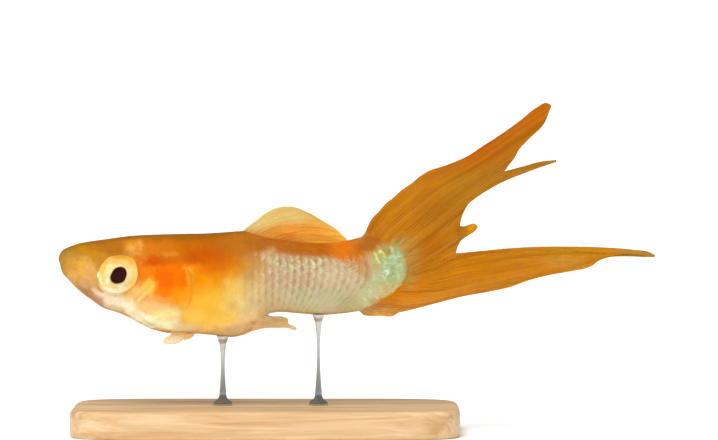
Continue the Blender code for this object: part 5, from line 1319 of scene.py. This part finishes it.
# The tail: a long upper lobe, a thread under it, a short bright lobe and a long lower sword. Each
# part of an outline starts where the one before it ends, with a corner between them.
tailFin = {
    "edges": (
        ((88.6, 6.1),),
        ((89.5, 7.1), (90.5, 9.3), (91.8, 11.6), (93.6, 13.4), (95.6, 15.7), (98.0, 17.6), (100.3, 19.7),
         (103.1, 21.6), (105.6, 23.7), (108.2, 25.3), (113.2, 26.95), (120.5, 30.2), (124.0, 32.6),
         (127.5, 34.8), (135.1, 40.2), (139.8, 43.9), (142.6, 45.2), (144.0, 44.5), (143.5, 42.9),
         (142.9, 41.2), (142.1, 39.4), (140.9, 37.8), (139.4, 36.4), (137.9, 35.0), (136.2, 33.3),
         (134.9, 31.9), (134.0, 30.4), (133.1, 28.8), (131.9, 27.3), (130.4, 25.2)),
        ((135.7, 26.6), (140.9, 28.0), (145.5, 28.5)),
        ((145.6, 27.9),),
        ((144.0, 27.4), (139.9, 26.0), (135.9, 24.5), (132.0, 23.0), (128.8, 21.5), (126.1, 20.0),
         (123.6, 18.5), (121.5, 17.0), (119.8, 15.5), (118.9, 14.0), (118.2, 12.5), (117.7, 11.0),
         (117.4, 9.2)),
        ((118.6, 9.1), (119.9, 9.5), (121.4, 9.9), (122.6, 9.1), (121.9, 7.8), (119.8, 6.4),
         (117.8, 5.0), (116.9, 3.5), (116.2, 1.2)),
        ((122.8, 1.8), (131.0, 2.6), (139.8, 3.1), (149.7, 3.15), (159.9, 2.9), (167.8, 2.3),
         (173.0, 1.5), (174.5, 0.7)),
        ((174.2, 0.1),),
        ((170.0, 0.2), (165.8, 0.3), (160.5, -0.1), (157.6, -1.25), (156.2, -2.4), (153.6, -3.35),
         (150.0, -4.05), (142.2, -5.5), (136.5, -7.1), (132.8, -8.5), (126.0, -10.05), (118.0, -11.5),
         (111.9, -13.05), (103.5, -15.25), (99.4, -16.2)),
        ((98.6, -16.75), (97.8, -17.15), (94.2, -17.1), (90.4, -17.05), (89.1, -16.8), (88.4, -16.05),
         (87.2, -15.4)),
        ((87.4, -13.0),),
        ((92.5, -12.0), (95.6, -10.6), (98.2, -8.0), (99.4, -5.6), (99.2, -3.4), (97.0, -0.8),
         (94.0, 1.6), (88.4, 3.6)),
    ),
    "guides": (
        ((88.7, 4.4), (90.6, 8.8), (94.0, 13.3), (98.1, 17.0), (103.4, 21.1), (108.6, 24.8),
         (113.7, 26.7), (121.0, 29.9), (128.0, 34.4), (135.6, 39.8), (143.4, 44.8)),
        ((95.6, 0.6), (106.6, 9.2), (114.6, 16.2), (122.6, 22.4), (130.2, 27.6), (137.0, 32.4),
         (142.0, 36.0)),
        ((96.6, -0.2), (107.6, 7.6), (115.8, 14.2), (123.9, 20.1), (130.9, 24.2), (135.8, 25.8),
         (141.0, 27.4), (145.4, 28.3)),
        ((98.4, -2.2), (107.6, 4.2), (113.4, 9.0), (119.0, 15.0)),
        ((99.2, -3.8), (109.6, 1.6), (116.0, 5.6), (122.4, 8.8)),
        ((99.4, -5.0), (108.4, -1.8), (117.4, 2.6)),
        ((99.4, -5.9), (110.6, -2.6), (117.4, 0.8), (131.0, 2.1), (149.7, 2.7), (160.0, 2.3),
         (174.4, 0.4)),
        ((98.4, -8.0), (112.0, -6.8), (125.0, -3.6), (142.0, -1.0), (155.0, -0.5), (166.0, 1.0)),
        ((95.6, -11.0), (110.0, -11.0), (122.0, -8.6), (134.5, -5.8), (148.0, -3.0), (158.0, -0.9)),
        ((89.0, -14.8), (97.4, -15.8), (104.0, -14.8), (111.7, -12.9), (125.0, -9.8), (139.0, -6.2),
         (151.0, -3.6)),
        ((88.8, -15.4), (92.6, -16.6), (98.6, -17.2)),
    ),
    "rays": (13, 2, 5, 4, 3, 1, 6, 6, 7, 2),   # from each guide to the next
    "linesPerRay": 4,
    "alongStep": 0.8,         # from point to point of a line
    "edgeStep": 0.45,         # from point to point of the outline
    "margin": 0.22,           # lines keep this clear of the outline
    "leastGap": 0.16,         # and where they come closer to each other, some end
    "branch": (0.22, 0.42),   # the shares of their length where the rays part in two
    "half": (0.34, 0.16),     # half the membrane's thickness at its root and at its tip
    "ridge": 0.09,            # how far the rays stand up from it
}


def tailLean(x, z):   # a slow wave that grows towards the tips
    out = np.clip((x - 88) / (fish["totalLength"] - 88), 0, 1)
    return -3.0 * out**1.5 * np.sin(3.2 * out - 0.06 * (z - 5))


def tailPaint(x, z, t, place, ridge):
    # Its marks, then streaks of light and dark along the rays, and a fold under the short lobe
    px, pz = stirred(x, x, z, ((0.8, 3.0, 41),)), stirred(z, x, z, ((0.6, 2.5, 42),))
    colour = laidOver("#cc7e12", px, pz, tailMarks)
    near = x < 108
    share = (1 - ramp(x[near], 104, 107))[:, None]
    colour[near] = (1 - share) * colour[near] + share * joined(x[near], z[near])
    streak = noiseField(place, t * 3.0, 0.7, 43)
    fine = noiseField(place, t * 9.0, 0.28, 44)
    broad = noiseField(place, t * 2.2, 1.3, 45)
    far = ramp(x - smooth(tailEdge, z), 0.0, 3.0)
    colour = mixed(colour, "#e29018", 0.4 * far * ramp(broad, 0.0, 0.8))
    colour = mixed(colour, "#a25e06", 0.4 * far * ramp(-broad, 0.0, 0.8))
    bright = 0.46 * far * ridge * ramp(streak + 0.3 * fine, -0.5, 0.6)
    deep = 0.36 * far * (1 - ridge) * ramp(fine - 0.2 * streak, -0.6, 0.7)
    colour = mixed(mixed(colour, "#d8933a", bright), "#96580a", deep)
    fold = z - (-2.9 + (x - 102.9) * 0.56 + 0.0024 * (x - 102.9) ** 2)
    return mixed(colour, "#d98c34", 0.5 * bell(fold, 0, 0.3) * span(x, 103, 107, 116, 119))


tailMaterial = finMaterial("softRayedTail", 1.0, (0.4, 0.56), 0.006, flecks="alongRays")
makeFin("tail_fin", tailFin, tailLean, tailPaint, tailMaterial, "tail_membrane",
        "caudal_fin_upper", "caudal_fin_middle", "caudal_fin_lower")
print("tail done")

dorsalFin = {
    "edges": (
        ((54.5, 8.3), (56.0, 9.55), (58.0, 10.95), (60.0, 12.55), (62.0, 13.75), (64.0, 14.55),
         (66.0, 14.85), (68.4, 14.85), (70.0, 14.45), (72.0, 13.6), (74.0, 12.7), (76.0, 11.5),
         (78.0, 10.3), (80.0, 9.15), (81.0, 8.45), (82.0, 7.6), (83.0, 6.6), (84.4, 5.3)),
        ((84.2, 4.2), (79.5, 3.4), (73.7, 3.1), (68.1, 3.3), (63.0, 4.2), (58.0, 5.4), (53.8, 6.4),
         (53.6, 7.5)),
    ),
    "guides": (
        ((54.2, 7.4), (57.6, 10.1), (61.9, 13.2), (65.6, 14.4), (69.4, 14.2), (74.0, 12.4)),
        ((55.6, 7.0), (60.4, 9.8), (66.0, 12.0), (71.4, 12.2), (76.8, 10.9)),
        ((57.4, 6.4), (62.4, 8.7), (67.8, 10.0), (74.0, 10.1), (80.0, 9.1)),
        ((60.6, 5.6), (65.4, 7.4), (70.6, 8.1), (76.8, 7.8), (83.0, 6.8)),
        ((64.6, 4.7), (68.4, 5.9), (72.4, 6.1), (78.0, 5.7), (84.3, 5.2)),
        ((69.0, 4.2), (73.0, 4.5), (78.0, 4.6), (84.2, 4.6)),
    ),
    "rays": (4, 4, 4, 4, 2),
    "linesPerRay": 6,
    "alongStep": 0.55,
    "edgeStep": 0.35,
    "margin": 0.2,
    "leastGap": 0.12,
    "branch": (0.35, 0.6),
    "half": (0.36, 0.14),
    "ridge": 0.1,
}


def dorsalPaint(x, z, t, place, ridge):   # pale gold over a line, and deep orange under it
    crest = smooth(((53.8, 6.6), (57, 7.3), (60, 8.0), (64, 9.2), (68, 9.7), (72, 9.8), (76, 9.2),
                    (80, 7.9), (84.5, 5.2)), x)
    low = 1 - ramp(z - crest, -1.4, 2.0)
    colour = laidOver("#ffdc80", stirred(x, x, z, ((0.4, 2.0, 51),)), z, (
        ("rearTop", 76.4, 9.9, 7, 2.2, -36, "#ffca5e", 0.95),
        ("backTop", 71.5, 13.2, 3, 1.4, -18, "#ffdc88", 0.7),
        ("front", 57, 8.8, 3, 2, 40, "#fadd92", 0.8),
    ))
    deep = laidOver("#fc9c1a", x, z, (
        ("rear", 80, 6.8, 4.5, 1.6, -25, "#ffb63c", 0.9),
        ("middle", 73, 7.9, 8, 0.9, -2, "#ffa436", 0.7),
        ("redArc", 68.5, 6, 5.5, 0.8, -8, "#dc7a14", 0.85),
        ("olive", 75, 5.6, 5, 1, -6, "#e09418", 0.8),
        ("base", 67, 4.6, 9, 0.8, -6, "#c87018", 0.85),
        ("front", 60, 6.8, 4, 1.6, 20, "#e29434", 0.7),
    ))
    colour += (0.92 * low)[..., None] * (deep - colour)
    streak = noiseField(place, t * 3.0, 0.6, 52)
    dark = (1 - ridge) * ramp(streak, -0.4, 0.6)
    colour = mixed(colour, "#c86008", np.clip(0.55 * dark * low, 0, 1))
    return mixed(colour, "#dca244", np.clip(0.42 * dark * (1 - low), 0, 1))


clearFinMaterial = finMaterial("clearFinMembrane", 0.92, (0.38, 0.54), 0.005)
makeFin("dorsal_fin_sail", dorsalFin, lambda x, z: -0.6 * np.sin((z - 5) / 3), dorsalPaint,
        clearFinMaterial, "fin_membrane", "dorsal_fin")

analFin = {
    "edges": (
        ((60.9, -16.4), (61.6, -17.0), (63.6, -17.2), (65.8, -17.4), (67.1, -18.1), (67.2, -19.3),
         (68.6, -19.95), (69.6, -20.5)),
        ((69.6, -21.0), (69.1, -21.3), (68.2, -21.15), (67.2, -20.75), (64.0, -20.7), (61.6, -20.65),
         (59.6, -20.85), (57.4, -21.4), (54.6, -22.2)),
        ((55.6, -19.4), (57.6, -16.0), (60.4, -15.6)),
    ),
    "guides": (
        ((60.6, -16.2), (64.0, -17.6), (67.1, -18.4)),
        ((59.0, -18.2), (63.0, -19.0), (67.3, -19.3)),
        ((55.4, -21.6), (60.0, -20.2), (66.0, -19.9), (69.5, -20.7)),
        ((55.0, -22.2), (59.4, -21.0), (65.6, -20.5), (69.4, -21.1)),
    ),
    "rays": (3, 3, 1),
    "linesPerRay": 8,
    "alongStep": 0.4,
    "edgeStep": 0.3,
    "margin": 0.15,
    "leastGap": 0.12,
    "branch": (2.0, 3.0),
    "half": (2.4, 0.24),
    "taper": 3.0,             # the thick fleshy root runs out fast
    "ridge": 0.22,
}


def analPaint(x, z, t, place, ridge):
    colour = laidOver("#f2cb8c", x, z, (
        ("flap", 65, -18.6, 3.4, 1.3, -10, "#f2cc8a", 0.9),
        ("rod", 65, -20.6, 6, 0.7, 0, "#ffd89c", 0.9, 0.8),
        ("palePoint", 69, -20.7, 1.8, 0.8, 0, "#ffe6bc", 0.9, 0.8),
        ("root", 58, -19.6, 4, 2.6, 30, "#f0c894", 0.9),
    ))
    # painted light: the fleshy root is painted lighter towards the belly, against the shade between the fin
    # and the body
    colour = colour * (1 + 0.3 * (1 - ramp(x, 57, 62)))[..., None]
    streak = ramp(noiseField(place, t * 2, 0.5, 61), -0.6, 0.5)
    return mixed(colour, "#a87438", 0.3 * (1 - ridge) * streak * ramp(x, 60, 63))


makeFin("anal_fin_rod", analFin, lambda x, z: 0 * x, analPaint,
        clearFinMaterial, "fin_membrane", "anal_fin")

pectoralFin = {
    "edges": (
        ((42.2, -4.4), (45.6, -6.5), (47.5, -9.3), (47.1, -12.8), (45.3, -16.1), (42.4, -18.6),
         (39.5, -19.5), (37.4, -18.8), (36.6, -17.3), (37.2, -14.6), (38.6, -11.4), (40.2, -8.8)),
        ((39.2, -6.0), (38.2, -3.2)),
    ),
    "guides": (
        ((38.4, -3.5), (42.2, -4.8), (45.3, -6.9), (47.5, -9.8)),
        ((39.3, -6.2), (42.2, -9.4), (43.8, -13.2), (44.4, -17.6)),
        ((40.0, -8.6), (38.7, -11.6), (37.6, -15.0), (37.2, -18.8)),
    ),
    "rays": (6, 6),
    "linesPerRay": 8,
    "alongStep": 0.45,
    "edgeStep": 0.3,
    "margin": 0.16,
    "leastGap": 0.12,
    "branch": (0.3, 0.5),
    "half": (0.14, 0.03),
    "ridge": 0.05,
}


def pectoralPaint(x, z, t, place, ridge):
    colour = 1.2 * laidOver("#ffbc20", x, z, (
        ("root", 41, -8.5, 4.8, 5, 0, "#ff9a00", 0.9),
        ("tip", 40.5, -17.5, 4, 2.4, 0, "#ffc854", 0.8),
    ))
    return mixed(colour, "#ffb42c", 0.3 * ridge)


def pectoralLean(way):   # roots on the side, stands off it and cups back towards it
    rootX, rootZ = 39.8, -6.0
    root = float(sideWidth(rootX, rootZ)) + 0.45

    def lean(x, z):
        reach = np.hypot(x - rootX, z - rootZ)
        return way * (root + 1.7 * np.sin(reach / 7) - 0.5 * (1 - ramp(reach, 0, 3)))

    return lean


sideFinMaterial = finMaterial("glassyFinMembrane", 0.08, (0.36, 0.5), 0.004)
for side, way in bothSides:
    makeFin("pectoral_fin_" + side + "_fan", pectoralFin, pectoralLean(way), pectoralPaint, sideFinMaterial,
            "fin_membrane", "pectoral_fin_" + side)

pelvicFins = {
    "left": {
        "edges": (
            ((32.9, -22.4), (31.3, -23.4), (30.6, -24.3), (30.9, -25.1), (32.4, -25.1), (34.6, -24.9),
             (35.8, -24.4), (36.6, -23.4), (37.2, -21.6)),
            ((35.0, -21.2), (32.8, -21.4)),
        ),
        "guides": (
            ((33.3, -21.6), (32.4, -23.4), (30.9, -24.8)),
            ((35.0, -21.4), (34.3, -23.6), (33.4, -25.3)),
            ((36.9, -21.7), (36.4, -23.6), (35.4, -24.8)),
        ),
        "rays": (3, 3),
    },
    "right": {
        "edges": (
            ((36.5, -23.2), (36.4, -24.2), (38.0, -24.0), (39.2, -23.3), (40.0, -21.6)),
            ((38.0, -21.2), (36.2, -21.4)),
        ),
        "guides": (
            ((36.5, -21.6), (36.7, -23.0), (36.6, -24.2)),
            ((39.7, -21.6), (39.2, -22.8), (38.6, -23.8)),
        ),
        "rays": (5,),
    },
}
pelvicCommon = {"linesPerRay": 6, "alongStep": 0.3, "edgeStep": 0.25, "margin": 0.12, "leastGap": 0.1,
                "branch": (0.4, 0.7), "half": (0.34, 0.14), "ridge": 0.2}


def pelvicPaint(x, z, t, place, ridge):
    colour = 1.15 * laidOver("#ffd494", x, z, (("tip", 33, -24.8, 4, 1.6, 0, "#fff0c6", 0.9),))
    return mixed(colour, "#d8a060", 0.2 * (1 - ridge))


for side, way in bothSides:
    makeFin("pelvic_fin_" + side + "_fan", {**pelvicFins[side], **pelvicCommon},
            lambda x, z, way=way: way * (2.2 - (z + 22) / 2),
            # painted light: the right fin, which lies in the left one's shade, is painted 1.3 times as
            # bright
            lambda *at, way=way: (1.15 - 0.15 * way) * pelvicPaint(*at), clearFinMaterial,
            "fin_membrane", "pelvic_fin_" + side)
print("fins done")

# The stand

standForm = {
    "centre": 60.6,           # hundredths of the body; the other sizes are in metres
    "length": 0.034,
    "depth": 0.018,
    "height": 0.0024,
    "cornerPower": 6.0,       # 2 for an ellipse, more for squarer corners
    "footRound": 0.00022,     # radii of its lower and upper edges
    "topRound": 0.0005,
    "topInset": 0.0012,
    "rods": {"front": 48.0, "rear": 76.0},
    "rodRadius": 0.0003,
    # a rod's outline: shares of its radius, and heights from the base and from the belly
    "rodFoot": ((1 / 3, 0), (2.6, 0), (2.75, 0.00014), (2.75, 0.0003), (2.5, 0.00044), (1.6, 0.00062),
                (1.12, 0.0009), (1, 0.0013)),
    "rodCup": ((1, -0.0008), (1.1, -0.0006), (1.6, -0.00028), (1.75, -0.0001), (1.75, 0.0001),
               (1.3, 0.0002), (1 / 3, 0.0002)),
}


def mapleMaterial():
    # Oiled maple, planed: pale, with fine long grain and pores, and a soft satin gloss
    made, tree, shader, spot = newMaterial("oiledMaple", {
        "IOR": 1.5, "Coat Weight": 0.15, "Coat Roughness": 0.25,
    })
    grain = noiseAt(tree, spot, (60, 900, 900), 6.0, 0.62, 0.6)
    pores = noiseAt(tree, spot, (250, 5200, 5200))
    share = addNode(tree, "ShaderNodeMapRange", {"Value": grain, "From Min": 0.36, "From Max": 0.66})
    colour = blended(tree, "#c79a66", "#e3c497", share.outputs[0])
    colour = shaded(tree, colour, pores, 0.93, 1.04, (0.3, 0.7))
    tree.links.new(colour, shader.inputs["Base Color"])
    grained(tree, shader, grain, pores, (0.38, 0.55), 0.00002, 0.35)
    return made


def steelMaterial():
    # Turned stainless steel: fine rings round the rod from the tool, softly bright
    made, tree, shader, spot = newMaterial("turnedSteel", {
        "Base Color": (*linear("#c9cac8"), 1), "Metallic": 1.0,
    })
    rings = noiseAt(tree, spot, (300, 300, 12000))
    grained(tree, shader, rings, rings, (0.22, 0.42), 0.000008, 0.2)
    return made


def makeBase():
    # A superellipse |x/a|^p + |y/b|^p = 1 carried up a profile with rounded edges
    angle = np.linspace(0, 2 * math.pi, 240, endpoint=False)
    power = 2 / standForm["cornerPower"]
    outline = np.stack([np.sign(f) * np.abs(f) ** power for f in (np.cos(angle), np.sin(angle))], axis=1)
    ease = np.linspace(0, math.pi / 2, 7)
    foot, edge, height = standForm["footRound"], standForm["topRound"], standForm["height"]
    inset = np.concatenate([foot * (1 - np.sin(ease)), edge * (1 - np.cos(ease)), [standForm["topInset"]]])
    level = np.concatenate([foot * (1 - np.cos(ease)), height - edge * (1 - np.sin(ease)), [height]])
    size = np.array([standForm["length"], standForm["depth"]]) / 2 - inset[:, None]
    x, y = np.moveaxis(outline[None] * size[:, None], 2, 0)
    centre = placed((standForm["centre"], 0, 0))[0]
    points, faces = closedRings(np.stack([x + centre, y, level[:, None] + 0 * x], axis=2))
    base = addMesh("stand_base_block", points, faces, mapleMaterial())
    base.data.set_sharp_from_angle(angle=math.radians(35))
    return keep(base, "stand_wood", "stand_base")


def makeRod(name, x, material):
    # A turned profile: foot, slim shank and a small cup that meets the belly
    centre, _, top = placed((x, 0, float(form("belly", x))))
    foot, radius = standForm["height"] - 0.0001, standForm["rodRadius"]
    profile = [(radius * out, start + up) for start, part in ((foot, "rodFoot"), (top, "rodCup"))
               for out, up in standForm[part]]
    out, level = evenLine(profile, 120).T[..., None]
    angle = np.linspace(0, 2 * math.pi, 48, endpoint=False)
    rings = np.stack([centre + out * np.cos(angle), out * np.sin(angle), level + 0 * angle], axis=2)
    return keep(addMesh(name + "_turned", *closedRings(rings), material), "stand_steel", name)


makeBase()
rodMaterial = steelMaterial()
for name, x in standForm["rods"].items():
    makeRod("stand_rod_" + name, x, rodMaterial)
print("stand done")

# Floor, light and camera

studio = {
    "floor": "#fafaf9",
    "floorRings": (0.05, 0.2, 1.0, 6.0),   # radii in metres
    "floorSides": 128,
    "sky": 0.66,              # how bright the room lights the fish, and looks behind it and in its gloss
    "skyInView": 1.05,
    "skyInGloss": 0.2,
    "lamps": {                # the way each shines and its strength
        "softKey": ((0.25, 0.45, -1.0), 2.5),
        "frontFill": ((0.05, 1.0, 0.2), 1.5),
    },
    "lampWidth": 40,          # degrees, for soft shadows
    "lens": 250,              # millimetres, on a sensor this wide
    "sensor": 36,
    "elevation": 2.0,
    "pixel": 0.03 / 342,      # metres a pixel at the fish, from its body's 342 pixels
    "photo": (718, 440),
    "snoutPixel": (58.5, 257.5),
}


def makeFloor():   # a wide disc of matt paper under the base
    sides, radius = studio["floorSides"], np.array(studio["floorRings"])[:, None]
    angle = np.linspace(0, 2 * math.pi, sides, endpoint=False)
    points = np.stack([radius * np.cos(angle), radius * np.sin(angle), 0 * radius * angle], axis=2)
    k = np.arange(sides)
    middle = np.stack([k, (k + 1) % sides, np.full(sides, radius.size * sides)], axis=1)
    paper, *_ = newMaterial("mattPaper", {"Base Color": (*linear(studio["floor"]), 1), "Roughness": 0.9})
    floor = addMesh("floor", np.concatenate([points.reshape(-1, 3), [[0, 0, 0]]]),
                    [gridFaces(radius.size, sides, closed=True)[:, ::-1], middle], paper)


def makeLight():
    # A white room, dimmer where it lights the fish and dimmer still in its gloss, one large soft
    # lamp from above and a weaker one from beside the camera
    world = bpy.data.worlds.new("paleStudio")
    world.use_nodes = True
    tree = world.node_tree
    tree.nodes.clear()
    light = addNode(tree, "ShaderNodeLightPath").outputs
    direct = addNode(tree, "ShaderNodeMapRange", {
        "Value": light["Is Camera Ray"], "To Min": studio["sky"], "To Max": studio["skyInView"],
    })
    strength = addNode(tree, "ShaderNodeMapRange", {
        "Value": light["Is Glossy Ray"], "To Min": direct.outputs[0], "To Max": studio["skyInGloss"],
    })
    sky = addNode(tree, "ShaderNodeBackground", {"Color": (1, 1, 1, 1), "Strength": strength.outputs[0]})
    addNode(tree, "ShaderNodeOutputWorld", {"Surface": sky.outputs[0]})
    bpy.context.scene.world = world
    for name, (way, energy) in studio["lamps"].items():
        lamp = bpy.data.lights.new(name, "SUN")
        lamp.energy = energy
        lamp.angle = math.radians(studio["lampWidth"])
        placedLamp = bpy.data.objects.new(name, lamp)
        placedLamp.rotation_euler = Vector(way).to_track_quat("-Z", "Y").to_euler()
        placedLamp.visible_glossy = False
        bpy.context.scene.collection.objects.link(placedLamp)
    bpy.context.scene.view_settings.view_transform = "Standard"


def makeCamera():   # as far off as makes a pixel of the photo its size at the fish
    width, height = studio["photo"]
    data = bpy.data.cameras.new("camera")
    data.lens = studio["lens"]
    data.sensor_width = studio["sensor"]
    camera = bpy.data.objects.new("camera", data)
    bpy.context.scene.collection.objects.link(camera)
    bpy.context.scene.camera = camera
    snout = placed((0, 0, 0))
    target = Vector((
        snout[0] + (width / 2 - studio["snoutPixel"][0]) * studio["pixel"], 0,
        snout[2] + (studio["snoutPixel"][1] - height / 2) * studio["pixel"],
    ))
    distance = width * studio["pixel"] * studio["lens"] / studio["sensor"]
    up = math.radians(studio["elevation"])
    back = Vector((0, -math.cos(up), math.sin(up)))
    camera.location = target + back * distance
    camera.rotation_euler = (-back).to_track_quat("-Z", "Y").to_euler()
    data.clip_start, data.clip_end = 0.01, 50


makeFloor()
makeLight()
makeCamera()
print("stage done")
